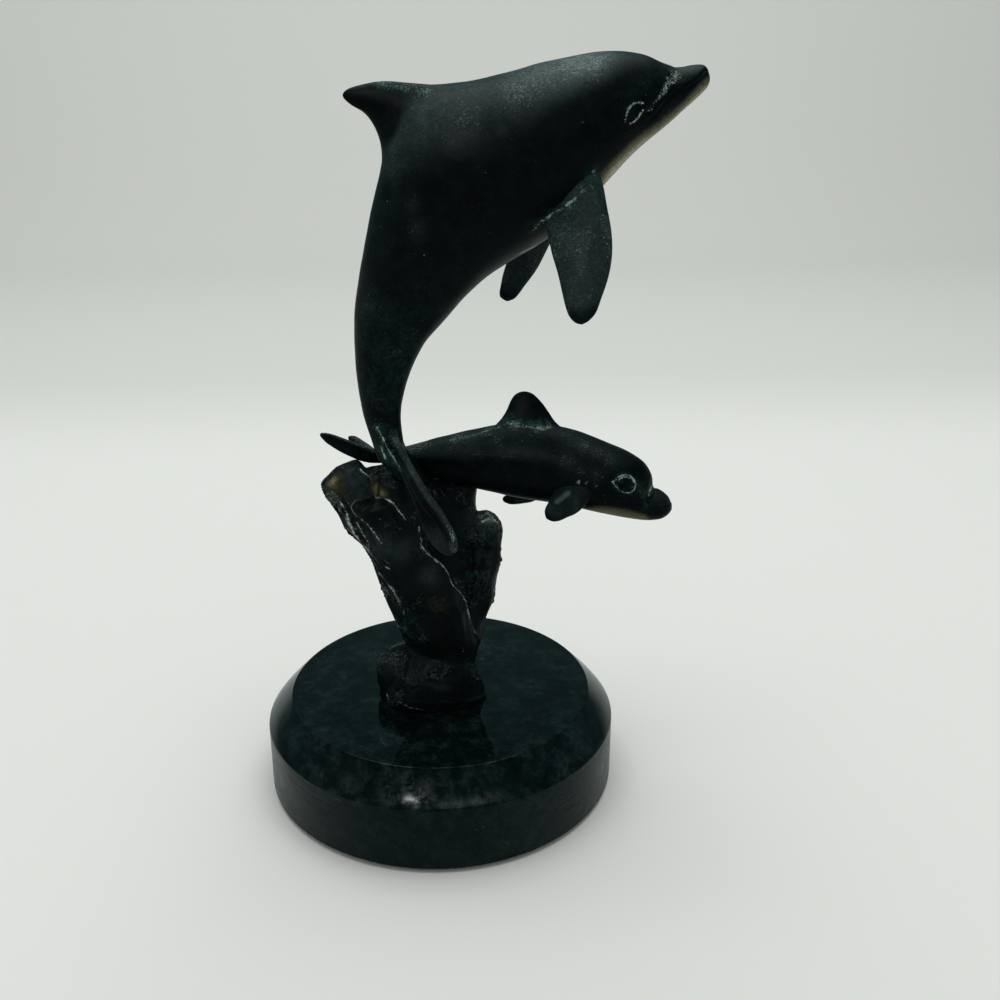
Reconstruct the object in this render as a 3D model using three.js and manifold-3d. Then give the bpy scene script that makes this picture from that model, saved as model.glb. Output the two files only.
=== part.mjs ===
// An adult dolphin leaping over a calf, cast in bronze on a rock stump bolted to a turned marble base.
// Millimetres, +Z up, the dolphins swim towards +X, and the origin is the centre of the felt's underside.
// The casting, which is the rock with both dolphins, is measured from the middle of the marble's top.
import * as THREE from 'three';
import { mergeVertices } from 'three/addons/utils/BufferGeometryUtils.js';
import Module from 'manifold-3d';

const wasm = await Module();
wasm.setup();

// Marble base and felt
const BASE_RADIUS = 50.8;
const MARBLE_HEIGHT = 26.5;
const BEVEL_HEIGHT = 8.2;
const BEVEL_WIDTH = 7.3;
const FOOT_ARRIS = 0.7;
const FELT_THICKNESS = 1.5;
const FELT_INSET = 1.3;
const BASE_SIDES = 64;

// Bolt that holds the casting to the marble
const STUD_RADIUS = 3;
const STUD_IN_ROCK = 13;
const STUD_PAST_NUT = 1.6;
const STUD_HOLE_CLEARANCE = 0.3;
const MARBLE_BORE_CLEARANCE = 0.6;
const STUD_TIP_BEVEL = 0.6;
const COUNTERBORE_RADIUS = 11;
const COUNTERBORE_DEPTH = 11;
const WASHER_RADIUS = 9;
const WASHER_THICKNESS = 1.6;
const NUT_ACROSS_FLATS = 10;
const NUT_HEIGHT = 5;
const BOLT_SIDES = 32;

// Seats between castings
const SEAT_GAP = 0.35;
const PIN_RADIUS = 1.4;
const PIN_CLEARANCE = 0.2;
const PIN_SIDES = 20;

// Heights that follow from the sizes above
const MARBLE_TOP = FELT_THICKNESS + MARBLE_HEIGHT;
const WASHER_TOP = FELT_THICKNESS + COUNTERBORE_DEPTH;
const NUT_TOP = WASHER_TOP - WASHER_THICKNESS;
const STUD_BOTTOM = NUT_TOP - NUT_HEIGHT - STUD_PAST_NUT;
const STUD_TOP = MARBLE_TOP + STUD_IN_ROCK;

// Points closer than this are one point
const WELD_DISTANCE = 1e-5;

const BRONZE = { color: 0x1a211f, roughness: 0.42, metalness: 0.85 };
const ROCK_BRONZE = { color: 0x1c201c, roughness: 0.4, metalness: 0.85 };
const MARBLE = { color: 0x10201c, roughness: 0.18, metalness: 0 };
const STEEL = { color: 0x8d9093, roughness: 0.4, metalness: 0.9 };
const FELT = { color: 0x0b0c0c, roughness: 0.95, metalness: 0 };

// Adult dolphin in its median plane, from beak to tail, measured from the point where its flukes meet
// the rock. Each station gives a back point and a belly point, forward and up, and a half width.
const ADULT_AT = [-12, -8, 76];
const ADULT_BEAK = [79.4, 92.2];
const ADULT_BODY = [
  [79.2, 93.4, 79.3, 91.1, 1.2],
  [78.6, 94.7, 78.9, 90.2, 2.1],
  [77.4, 95.4, 77.9, 89.1, 3.0],
  [75.0, 95.3, 76.2, 87.5, 3.9],
  [71.8, 94.9, 73.6, 85.3, 5.2],
  [67.7, 95.9, 70.5, 82.5, 7.0],
  [62.4, 97.8, 66.6, 79.3, 9.2],
  [55.3, 98.5, 61.6, 75.2, 11.4],
  [47.0, 97.4, 56.1, 69.4, 13.6],
  [37.1, 95.4, 50.2, 63.0, 15.6],
  [26.2, 92.6, 43.8, 57.0, 17.2],
  [13.8, 89.7, 37.0, 52.6, 17.7],
  [3.9, 81.8, 30.9, 49.2, 16.9],
  [-0.8, 68.6, 25.0, 45.0, 15.0],
  [-3.9, 56.7, 20.1, 40.5, 12.7],
  [-6.3, 46.0, 15.3, 35.1, 10.4],
  [-7.9, 35.8, 10.0, 29.2, 8.2],
  [-8.2, 26.1, 6.4, 22.5, 6.3],
  [-7.8, 17.5, 4.1, 15.8, 4.9],
  [-6.8, 10.0, 3.0, 9.8, 4.1],
  [-5.1, 3.6, 3.3, 3.6, 3.7],
  [-3.4, -2.2, 4.4, -2.6, 3.6],
  [0.2, -6.8, 6.8, -7.2, 2.6],
];
const ADULT_NOTCH = [4.6, -9.4];

// Outline of the adult's dorsal fin between its leading and trailing roots on the back line
const ADULT_DORSAL = [
  [12.0, 90.9],
  [7.2, 91.4],
  [1.9, 91.8],
  [-2.9, 91.2],
  [-6.8, 90.1],
  [-8.2, 88.5],
  [-6.5, 86.6],
  [-3.3, 84.6],
  [-1.1, 81.6],
  [0.2, 78.0],
  [0.5, 74.2],
];
const ADULT_DORSAL_ROOTS = [10.4, 12.8];
const ADULT_DORSAL_THICKNESS = 2.9;

// Calf in its median plane, from beak to tail, measured from the middle of its body
const CALF_AT = [12.2, 2, 69.1];
const CALF_YAW = -8;
const CALF_ROLL = -15;
const CALF_BEAK = [53.2, -11.5];
const CALF_BODY = [
  [53.0, -10.4, 53.0, -12.6, 1.2],
  [52.2, -8.8, 52.3, -13.6, 2.6],
  [50.7, -7.4, 50.6, -14.8, 3.8],
  [49.2, -6.6, 48.2, -15.3, 4.5],
  [48.2, -6.3, 45.6, -15.4, 5.1],
  [47.8, -4.9, 43.2, -15.2, 6.0],
  [47.1, -2.2, 40.4, -14.8, 7.1],
  [44.7, 1.1, 37.0, -14.3, 8.2],
  [39.9, 3.8, 32.4, -13.5, 9.0],
  [33.6, 6.3, 26.8, -12.4, 9.5],
  [26.6, 8.8, 20.6, -11.4, 9.6],
  [19.4, 10.3, 14.2, -10.6, 9.4],
  [12.2, 10.7, 7.8, -9.6, 8.8],
  [4.9, 10.0, 1.5, -8.4, 7.8],
  [-3.0, 8.3, -5.2, -7.0, 6.4],
  [-11.0, 6.2, -12.1, -5.4, 4.9],
  [-18.3, 4.0, -18.8, -3.6, 3.6],
  [-23.8, 2.4, -24.0, -2.3, 2.9],
];
const CALF_NOTCH = [-28.0, 0.6];
const CALF_DORSAL = [
  [20.3, 11.4],
  [18.4, 14.0],
  [16.4, 16.6],
  [14.0, 18.7],
  [11.5, 19.2],
  [9.4, 18.3],
  [8.1, 16.4],
  [7.1, 14.0],
  [5.8, 11.8],
];
const CALF_DORSAL_ROOTS = [10.65, 13.1];
const CALF_DORSAL_THICKNESS = 2.4;

// Fins: leading and trailing edges from root to tip, as forward, left, up from the same points
const ADULT_RIGHT_FLIPPER = {
  lead: [
    [48.6, -7, 76],
    [52, -11, 71.6],
    [53.4, -15.4, 64.4],
    [54.2, -19.5, 56],
    [53.2, -22.4, 49.2],
    [50.6, -24.8, 42.2],
    [46.8, -25.6, 38.6],
  ],
  trail: [
    [37.5, -7, 65],
    [39, -11, 61.2],
    [39.8, -15, 56.7],
    [40.9, -19, 52],
    [42, -22, 46.8],
    [43.5, -24.4, 41.2],
    [46.8, -25.6, 38.6],
  ],
  thickness: [5.4, 2.6],
};
const ADULT_LEFT_FLIPPER = {
  lead: [
    [46.5, 7, 74],
    [47.7, 11, 68.4],
    [46.9, 15.2, 59.6],
    [43.7, 18.6, 51],
    [40.2, 21.2, 43.6],
    [35.6, 23.8, 36.4],
    [32.4, 24.5, 34.6],
  ],
  trail: [
    [34.5, 7, 67],
    [35.4, 11, 61.6],
    [34, 15, 54.2],
    [32.4, 18.4, 47],
    [31, 21.2, 41.2],
    [30.4, 23.6, 36.6],
    [32.4, 24.5, 34.6],
  ],
  thickness: [5.4, 2.6],
};
const CALF_RIGHT_FLIPPER = {
  lead: [
    [31.4, -4, -3.4],
    [31.4, -7.6, -6.4],
    [29.6, -10, -10.6],
    [26.8, -11.6, -12.8],
    [23.8, -12.6, -14.2],
    [20.8, -13, -14.7],
  ],
  trail: [
    [22.6, -4, -3.4],
    [21.2, -7.6, -6.6],
    [19.6, -10, -9.9],
    [18.7, -11.4, -12.2],
    [19, -12.5, -13.9],
    [20.8, -13, -14.7],
  ],
  thickness: [3.6, 2.2],
};
const CALF_LEFT_FLIPPER = {
  lead: [
    [24.5, 4, -3.5],
    [20.4, 7.6, -8],
    [16, 10, -11.4],
    [12.1, 11.6, -12.9],
    [8.4, 12.6, -13.5],
    [5.8, 13, -12.6],
  ],
  trail: [
    [15.5, 4, -3.5],
    [12.4, 7.6, -7],
    [9.6, 10, -9.4],
    [7.5, 11.5, -10.5],
    [6, 12.5, -11.3],
    [5.8, 13, -12.6],
  ],
  thickness: [3.4, 2],
};
const ADULT_RIGHT_FLUKE = {
  lead: [
    [1.2, 1, 8],
    [3.2, -1.2, 2.4],
    [5.1, -3, -1.8],
    [8, -5.8, -6.4],
    [11.6, -9, -12],
    [14.9, -11.5, -17.5],
    [16.8, -13.2, -22.2],
    [14.6, -14, -25.2],
  ],
  trail: [
    [-2.4, 1, 5],
    [-0.8, -1.4, -1],
    [2.2, -3.6, -5],
    [4, -5.8, -8.4],
    [5.8, -8.2, -12.2],
    [7.4, -10.2, -16.6],
    [9.8, -12.2, -21.6],
    [14.6, -14, -25.2],
  ],
  thickness: [5.2, 2.4],
};
const ADULT_LEFT_FLUKE = {
  lead: [
    [1.2, -1, 8],
    [3.2, 1.2, 2.4],
    [4.8, 3, -2.2],
    [7.4, 5.8, -7],
    [10.4, 9, -12.4],
    [13.2, 11.5, -17],
    [14.8, 13, -20.6],
    [14, 13.8, -22.4],
  ],
  trail: [
    [-2.4, -1, 5],
    [-0.8, 1.4, -1],
    [1.8, 3.6, -5.4],
    [3.4, 5.8, -9],
    [5, 8.2, -12.4],
    [6.8, 10.2, -15.6],
    [8.8, 12, -18.8],
    [14, 13.8, -22.4],
  ],
  thickness: [5.2, 2.4],
};
const CALF_RIGHT_FLUKE = {
  lead: [
    [-19, 1, 0.4],
    [-24.6, -1.6, 1.8],
    [-28.8, -4.6, 2.6],
    [-34.7, -9.4, 5.1],
    [-38.6, -13.4, 6.9],
    [-41.4, -16, 7],
  ],
  trail: [
    [-20, 1, -1],
    [-26.6, -2, -1.4],
    [-31.4, -5.4, -1],
    [-36, -10.2, 1.4],
    [-39.4, -13.8, 4],
    [-41.4, -16, 7],
  ],
  thickness: [3.6, 1.9],
};
const CALF_LEFT_FLUKE = {
  lead: [
    [-19, -1, 0.4],
    [-24.6, 1.6, 1.2],
    [-29.6, 5, 1.6],
    [-33.8, 9, 3.4],
    [-37.4, 12, 5],
    [-40, 13.8, 4.6],
  ],
  trail: [
    [-20, -1, -1],
    [-27, 1.8, -1.4],
    [-31.6, 5, -0.8],
    [-35, 8.8, 0.4],
    [-38.2, 12, 2.2],
    [-40, 13.8, 4.6],
  ],
  thickness: [3.6, 1.9],
};

// Rock: each limb is a run of stations, centre x, y, z, then half widths across and front to back.
// The limbs that carry a dolphin are measured from it.
const ROCK_LIMBS = {
  foot: {
    stations: [
      [-2.4, -4.4, -3, 15.4, 12.4],
      [-2.4, -4.4, 2, 16.2, 13],
      [-1.4, -3.6, 5.8, 13.6, 11.2],
      [-0.6, -2.8, 11, 10.8, 9.8],
    ],
    tip: [-0.3, -2, 18],
    lumps: [0.04, 0.06, 0.03],
    seed: 0.4,
  },
  toe: {
    stations: [
      [-9.8, -5, -3, 4.6, 5.2],
      [-11, -5.4, 4.4, 7.6, 7],
      [-10.6, -4.6, 10.4, 6.4, 6],
      [-8.8, -3.8, 13.6, 3.8, 3.6],
    ],
    tip: [-7.6, -3.4, 15.2],
    lumps: [0.03, 0.04, 0.03],
    seed: 2.1,
  },
  leftStrand: {
    stations: [
      [-1, -1.5, 4, 9, 8.6],
      [-3.3, -1.6, 17, 8, 8.2],
      [-6, -1.8, 26, 7.9, 8],
      [-9.7, -1.8, 35, 7.5, 7.8],
      [-12.6, -1.6, 43.5, 6.7, 7.6],
      [-16.7, -1.6, 52, 6.6, 7.2],
      [-20.9, -1.8, 59, 6.9, 7],
      [-24.4, -2, 64, 6.9, 6.6],
      [-26.4, -2, 67.6, 5.9, 5.8],
    ],
    tip: [-27.4, -2, 69.4],
    lumps: [0.04, 0.04, 0.04],
    seed: 1.2,
  },
  frontStrand: {
    stations: [
      [2.4, -4, 6, 7.4, 7.4],
      [2.4, -4.4, 16, 7.6, 7],
      [0.6, -4.8, 25, 7.7, 6.8],
      [-3.2, -5, 33.5, 7.6, 6.6],
      [-7.4, -5, 41, 7, 6.4],
      [-11.2, -5.2, 48.5, 7, 6.2],
      [-14, -5.6, 55, 7.2, 5.8],
      [-15.8, -5.8, 60.2, 6.4, 4.8],
    ],
    tip: [-16.6, -5.8, 63],
    lumps: [0.05, 0.05, 0.04],
    seed: 3,
  },
  web: {
    stations: [
      [1, 0, 10, 9.4, 8],
      [2.6, 0.8, 20, 9, 7.4],
      [3, 1.4, 30, 9, 6.8],
      [1.4, 1.8, 40, 9.8, 6.4],
      [-1.6, 2.2, 49, 11, 6],
      [-3.6, 2.6, 56.6, 10.6, 5.4],
    ],
    tip: [-4.4, 2.6, 61],
    lumps: [0.04, 0.05, 0.04],
    seed: 0.3,
  },
  column: {
    at: CALF_AT,
    stations: [
      [-9.2, -0.6, -45.1, 7.4, 6.6],
      [-7.6, 0.6, -33.1, 6.8, 6.4],
      [-6.8, 1, -22.1, 6, 6.2],
      [-6.9, 1.2, -14.1, 5.8, 5.8],
      [-7.4, 1.4, -7.1, 6, 5.4],
    ],
    tip: [-8.2, 1.4, -3.4],
    lumps: [0.03, 0.04, 0.04],
    seed: 3.3,
  },
  lobe: {
    stations: [
      [5, 0, 12, 5, 6],
      [9.8, 0.8, 24, 4.8, 6],
      [11.9, 1.1, 33, 4.9, 6],
      [12.7, 1.4, 41, 5, 5.8],
      [13.3, 1.4, 47, 4.9, 5.2],
      [13.9, 1.4, 51.2, 4.3, 4.4],
      [14, 1.4, 53.2, 2.9, 3],
    ],
    tip: [14, 1.4, 54.2],
    lumps: [0.03, 0.04, 0.03],
    seed: 4.5,
  },
  tailSeat: {
    at: ADULT_AT,
    stations: [
      [5, 7, -28, 6.6, 5.8],
      [3.4, 4.6, -20, 6.6, 5.8],
      [2, 2.6, -13.4, 6.2, 5.4],
      [1.4, 1.4, -8.6, 5, 4.6],
    ],
    tip: [1.1, 1, -6.2],
    lumps: [0.04, 0.05, 0.04],
    seed: 1.9,
  },
  saddle: {
    stations: [
      [-25, -0.4, 59.6, 6, 5.4],
      [-17, 0.4, 62.1, 6.2, 5.6],
      [-9, 1, 61.4, 6.2, 5.6],
      [-1, 2, 57, 6, 5.4],
      [6, 3, 55.6, 5, 4.8],
    ],
    tip: [8.6, 3.4, 55.4],
    lumps: [0.03, 0.05, 0.03],
    seed: 5.2,
  },
};
const ROCK_SIDES = 16;
const ROCK_RINGS_PER_STATION = 2;

// Lumps round a limb: how many go round, how its seed turns them and how they wind as it runs on
const LUMP_WAVES = [
  { round: 2, bySeed: 1, winding: 0.7, phase: 0 },
  { round: 3, bySeed: -2, winding: 0.9, phase: 0 },
  { round: 5, bySeed: 3, winding: -1.3, phase: -Math.PI / 2 },
];

// Pins that locate the dolphins, each from its foot in the rock to its top in the dolphin,
// measured in the dolphin's own frame
const ADULT_PIN = { foot: [4.4, 2, -18], top: [2, 0, -3.5] };
const CALF_PIN = { foot: [-7.5, 4.6, -16.5], top: [-7.6, -0.1, -0.1] };

// Blades: share of the span over which the root thickness gives way to the outer one, how blunt
// the tip is, and how much fuller the leading half of a section is than the trailing half. Their
// edges pass a last step before the tip: how far back it lies and how wide it is there, as shares
// of the last pair of edge points.
const BLADE_TAPER_RUN = 0.625;
const BLADE_TIP_BLUNTNESS = 4;
const BLADE_LEADING_FULLNESS = 0.25;
const TIP_STEP_BACK = 0.25;
const TIP_STEP_WIDTH = 0.5;
const FLIPPER_MESH = { rings: 12, sides: 14 };
const FLUKE_MESH = { rings: 12, sides: 12 };

// The sides of a body crowd towards the back, where the dorsal fin is drawn out of them
const CROWDING = 1.7;

const adult = {
  body: ADULT_BODY,
  beak: ADULT_BEAK,
  notch: ADULT_NOTCH,
  dorsal: ADULT_DORSAL,
  dorsalRoots: ADULT_DORSAL_ROOTS,
  dorsalThickness: ADULT_DORSAL_THICKNESS,
  flukes: [ADULT_RIGHT_FLUKE, ADULT_LEFT_FLUKE],
  pin: ADULT_PIN,
  rings: 2,
  finRings: 6,
  sides: 28,
};
const calf = {
  body: CALF_BODY,
  beak: CALF_BEAK,
  notch: CALF_NOTCH,
  dorsal: CALF_DORSAL,
  dorsalRoots: CALF_DORSAL_ROOTS,
  dorsalThickness: CALF_DORSAL_THICKNESS,
  flukes: [CALF_RIGHT_FLUKE, CALF_LEFT_FLUKE],
  pin: CALF_PIN,
  rings: 2,
  finRings: 5,
  sides: 24,
};

/** Closed skin over rings of equal length, with a pole beyond each end. */
function skin(rings, firstPole, lastPole) {
  const sides = rings[0].length;
  const points = [firstPole, ...rings.flat(), lastPole];
  const last = points.length - 1;
  const index = [];
  for (let side = 0; side < sides; side++) {
    const next = (side + 1) % sides;
    index.push(0, 1 + next, 1 + side);
    for (let ring = 0; ring + 1 < rings.length; ring++) {
      const a = 1 + ring * sides;
      const b = a + sides;
      index.push(a + side, a + next, b + next, a + side, b + next, b + side);
    }
    const end = 1 + (rings.length - 1) * sides;
    index.push(end + side, end + next, last);
  }
  const geometry = new THREE.BufferGeometry().setFromPoints(points);
  geometry.setIndex(index);
  return facingOut(geometry);
}

/** Turns every face round when the enclosed volume comes out negative. */
function facingOut(geometry) {
  const position = geometry.attributes.position;
  const index = geometry.index.array;
  const [a, b, c] = [new THREE.Vector3(), new THREE.Vector3(), new THREE.Vector3()];
  let volume = 0;
  for (let i = 0; i < index.length; i += 3) {
    a.fromBufferAttribute(position, index[i]);
    b.fromBufferAttribute(position, index[i + 1]);
    c.fromBufferAttribute(position, index[i + 2]);
    volume += a.dot(b.cross(c));
  }
  if (volume < 0) {
    for (let i = 0; i < index.length; i += 3) {
      [index[i], index[i + 1]] = [index[i + 1], index[i]];
    }
  }
  return geometry;
}

/** Smooth curve through points that may hold fewer than three numbers each. */
function curveThrough(points) {
  const vectors = points.map(([x, y = 0, z = 0]) => new THREE.Vector3(x, y, z));
  return new THREE.CatmullRomCurve3(vectors, false, 'catmullrom', 0.5);
}

function solidOf(geometry) {
  const bare = geometry.clone();
  bare.deleteAttribute('normal');
  bare.deleteAttribute('uv');
  const merged = mergeVertices(bare, WELD_DISTANCE);
  return new wasm.Manifold(new wasm.Mesh({
    numProp: 3,
    vertProperties: new Float32Array(merged.attributes.position.array),
    triVerts: new Uint32Array(merged.index.array),
  }));
}

function geometryOf(solid) {
  const { vertProperties, triVerts } = solid.getMesh();
  const geometry = new THREE.BufferGeometry();
  geometry.setAttribute('position', new THREE.BufferAttribute(vertProperties, 3));
  geometry.setIndex(new THREE.BufferAttribute(triVerts, 1));
  return geometry;
}

/** Ring positions along a body, counted in stations, closer together under the dorsal fin. */
function ringPositions(dolphin) {
  const [finStart, finEnd] = dolphin.dorsalRoots;
  const positions = [];
  for (let station = 0; station + 1 < dolphin.body.length; station++) {
    const underFin = station + 1 > finStart && station < finEnd;
    const rings = underFin ? dolphin.finRings : dolphin.rings;
    for (let ring = 0; ring < rings; ring++) {
      positions.push(station + ring / rings);
    }
  }
  positions.push(dolphin.body.length - 1);
  return positions;
}

/** Body of a dolphin: oval sections between back and belly, the dorsal fin drawn out of their tops. */
function bodySkin(dolphin, grow = 0) {
  const stretches = dolphin.body.length - 1;
  const backLine = curveThrough(dolphin.body.map(([forward, up]) => [forward, 0, up]));
  const bellyLine = curveThrough(dolphin.body.map((station) => [station[2], 0, station[3]]));
  const widths = curveThrough(dolphin.body.map((station) => [station[4]]));
  const [finStart, finEnd] = dolphin.dorsalRoots;
  const finRoots = dolphin.dorsalRoots.map((root) => backLine.getPoint(root / stretches).toArray());
  const finPoints = dolphin.dorsal.map(([forward, up]) => [forward, 0, up]);
  const crest = curveThrough([finRoots[0], ...finPoints, finRoots[1]]);
  const left = new THREE.Vector3(0, 1, 0);
  const half = dolphin.sides / 2;
  const rings = ringPositions(dolphin).map((position) => {
    const back = backLine.getPoint(position / stretches);
    const belly = bellyLine.getPoint(position / stretches);
    const middle = back.clone().add(belly).multiplyScalar(0.5);
    const up = back.clone().sub(belly).normalize();
    const depth = back.distanceTo(belly) / 2 + grow;
    const width = widths.getPoint(position / stretches).x + grow;
    const finShare = (position - finStart) / (finEnd - finStart);
    const onFin = finShare > 0 && finShare < 1;
    const reach = onFin ? crest.getPoint(finShare).sub(back) : new THREE.Vector3();
    const points = [];
    for (let side = 0; side < dolphin.sides; side++) {
      const turn = side / half - 1;
      const fromTop = Math.PI * Math.sign(turn) * Math.abs(turn) ** CROWDING;
      const across = width * Math.sin(fromTop);
      const fall = Math.exp(-((across / (dolphin.dorsalThickness + grow)) ** 2));
      const rise = Math.cos(fromTop) > 0 ? fall : 0;
      points.push(middle.clone()
        .addScaledVector(left, across)
        .addScaledVector(up, depth * Math.cos(fromTop))
        .addScaledVector(reach, rise));
    }
    return points;
  });
  const beyond = ([forward, up], ring) => {
    const end = new THREE.Vector3(forward, 0, up);
    const inside = ring[0].clone().add(ring[half]).multiplyScalar(0.5);
    return end.addScaledVector(end.clone().sub(inside).normalize(), grow);
  };
  return skin(rings, beyond(dolphin.beak, rings[0]), beyond(dolphin.notch, rings[rings.length - 1]));
}

/** Edges of a blade with a step before the tip, which they then meet round instead of pointed. */
function roundTipped({ lead, trail }) {
  const tip = new THREE.Vector3(...lead[lead.length - 1]);
  const ahead = new THREE.Vector3(...lead[lead.length - 2]);
  const behind = new THREE.Vector3(...trail[trail.length - 2]);
  const middle = ahead.clone().add(behind).multiplyScalar(0.5);
  const step = tip.clone().lerp(middle, TIP_STEP_BACK);
  const halfWidth = ahead.sub(behind).multiplyScalar(TIP_STEP_WIDTH / 2);
  const leadStep = step.clone().add(halfWidth).toArray();
  const trailStep = step.clone().sub(halfWidth).toArray();
  return {
    front: curveThrough([...lead.slice(0, -1), leadStep, lead[lead.length - 1]]),
    back: curveThrough([...trail.slice(0, -1), trailStep, trail[trail.length - 1]]),
  };
}

/** Flipper or fluke between a leading and a trailing edge: rounded lens sections that thin to the tip. */
function bladeSkin({ lead, trail, thickness }, { rings, sides }, grow = 0) {
  const { front, back } = roundTipped({ lead, trail });
  const tip = front.getPoint(1);
  const rootMiddle = front.getPoint(0).add(back.getPoint(0)).multiplyScalar(0.5);
  const outwards = tip.clone().sub(rootMiddle).normalize();
  const sections = [];
  for (let ring = 0; ring < rings; ring++) {
    const out = Math.sin((Math.PI / 2) * (ring / rings));
    const a = front.getPoint(out);
    const b = back.getPoint(out);
    const middle = a.clone().add(b).multiplyScalar(0.5).addScaledVector(outwards, grow * out);
    const chord = a.clone().sub(b).multiplyScalar(0.5);
    const span = front.getTangent(out).add(back.getTangent(out));
    const normal = chord.clone().cross(span).normalize();
    const taper = THREE.MathUtils.lerp(thickness[0], thickness[1], Math.min(1, out / BLADE_TAPER_RUN));
    const thick = (taper / 2) * Math.sqrt(1 - out ** BLADE_TIP_BLUNTNESS) + grow;
    chord.setLength(chord.length() + grow);
    const points = [];
    for (let side = 0; side < sides; side++) {
      const angle = (2 * Math.PI * side) / sides;
      const fullness = 1 + BLADE_LEADING_FULLNESS * Math.cos(angle);
      points.push(middle.clone()
        .addScaledVector(chord, Math.cos(angle))
        .addScaledVector(normal, thick * fullness * Math.sin(angle)));
    }
    sections.push(points);
  }
  return skin(sections, rootMiddle, tip.addScaledVector(outwards, grow));
}

/** Limb of rock: lumpy rounded sections across a run of stations, flat at its first end. */
function limbSkin({ at = [0, 0, 0], stations, tip, lumps, seed }) {
  const path = curveThrough(stations.map(([x, y, z]) => [x, y, z]));
  const girth = curveThrough(stations.map((station) => [station[3], station[4]]));
  const ringCount = (stations.length - 1) * ROCK_RINGS_PER_STATION;
  const depthWise = new THREE.Vector3(0, 1, 0);
  const rings = [];
  for (let ring = 0; ring <= ringCount; ring++) {
    const along = ring / ringCount;
    const centre = path.getPoint(along);
    const size = girth.getPoint(along);
    const tangent = path.getTangent(along);
    const across = depthWise.clone().cross(tangent).normalize();
    const deep = tangent.clone().cross(across);
    const height = along * (stations.length - 1);
    const points = [];
    for (let side = 0; side < ROCK_SIDES; side++) {
      const angle = (2 * Math.PI * side) / ROCK_SIDES;
      const swell = LUMP_WAVES.reduce((sum, wave, which) => {
        const turned = wave.round * angle + wave.bySeed * seed + wave.winding * height + wave.phase;
        return sum + lumps[which] * Math.cos(turned);
      }, 1);
      points.push(centre.clone()
        .addScaledVector(across, size.x * swell * Math.cos(angle))
        .addScaledVector(deep, size.y * swell * Math.sin(angle)));
    }
    rings.push(points);
  }
  return skin(rings, path.getPoint(0), new THREE.Vector3(...tip)).translate(...at);
}

function placeAdult(object) {
  object.position.set(...ADULT_AT);
  object.updateMatrix();
  return object;
}

function placeCalf(object) {
  object.position.set(...CALF_AT);
  object.rotation.set(THREE.MathUtils.degToRad(CALF_ROLL), 0, THREE.MathUtils.degToRad(CALF_YAW), 'ZYX');
  object.updateMatrix();
  return object;
}

/** Body with its flukes joined on, optionally swollen to cut a seat for it. */
function dolphinSolid(dolphin, grow = 0) {
  const flukes = dolphin.flukes.map((fluke) => solidOf(bladeSkin(fluke, FLUKE_MESH, grow)));
  return flukes.reduce((solid, fluke) => solid.add(fluke), solidOf(bodySkin(dolphin, grow)));
}

function inPlace(solid, place) {
  const geometry = geometryOf(solid);
  geometry.applyMatrix4(place(new THREE.Object3D()).matrix);
  return solidOf(geometry);
}

/** Round bar between two points. */
function barSolid(from, to, radius, sides) {
  const start = new THREE.Vector3(...from);
  const end = new THREE.Vector3(...to);
  const geometry = new THREE.CylinderGeometry(radius, radius, start.distanceTo(end), sides);
  const up = new THREE.Vector3(0, 1, 0);
  const turn = new THREE.Quaternion().setFromUnitVectors(up, end.clone().sub(start).normalize());
  geometry.applyQuaternion(turn);
  geometry.translate(...start.add(end).multiplyScalar(0.5));
  return solidOf(geometry);
}

/** The hole for a pin is the pin with its clearance all round. */
function pinHole({ foot, top }) {
  const start = new THREE.Vector3(...foot);
  const end = new THREE.Vector3(...top);
  const reach = end.clone().sub(start).setLength(SEAT_GAP);
  return barSolid(start.sub(reach), end.add(reach), PIN_RADIUS + PIN_CLEARANCE, PIN_SIDES);
}

function lathed(profile, sides) {
  const points = profile.map(([radius, height]) => new THREE.Vector2(radius, height));
  const geometry = new THREE.LatheGeometry(points, sides);
  geometry.rotateX(Math.PI / 2);
  return geometryOf(solidOf(facingOut(mergedPositions(geometry))));
}

function mergedPositions(geometry) {
  geometry.deleteAttribute('normal');
  geometry.deleteAttribute('uv');
  return mergeVertices(geometry, WELD_DISTANCE);
}

function marbleGeometry() {
  const bore = STUD_RADIUS + MARBLE_BORE_CLEARANCE;
  const ceiling = FELT_THICKNESS + COUNTERBORE_DEPTH;
  const profile = [
    [bore, MARBLE_TOP],
    [bore, ceiling],
    [COUNTERBORE_RADIUS, ceiling],
    [COUNTERBORE_RADIUS, FELT_THICKNESS],
    [BASE_RADIUS - FOOT_ARRIS, FELT_THICKNESS],
    [BASE_RADIUS, FELT_THICKNESS + FOOT_ARRIS],
    [BASE_RADIUS, MARBLE_TOP - BEVEL_HEIGHT],
    [BASE_RADIUS - BEVEL_WIDTH, MARBLE_TOP],
    [bore, MARBLE_TOP],
  ];
  return lathed(profile, BASE_SIDES);
}

function feltGeometry() {
  const radius = BASE_RADIUS - FELT_INSET;
  return lathed([[0, 0], [radius, 0], [radius, FELT_THICKNESS], [0, FELT_THICKNESS]], BASE_SIDES);
}

function studGeometry() {
  const neck = STUD_RADIUS - STUD_TIP_BEVEL;
  const profile = [
    [0, STUD_BOTTOM],
    [neck, STUD_BOTTOM],
    [STUD_RADIUS, STUD_BOTTOM + STUD_TIP_BEVEL],
    [STUD_RADIUS, STUD_TOP - STUD_TIP_BEVEL],
    [neck, STUD_TOP],
    [0, STUD_TOP],
  ];
  return lathed(profile, BOLT_SIDES);
}

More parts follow.
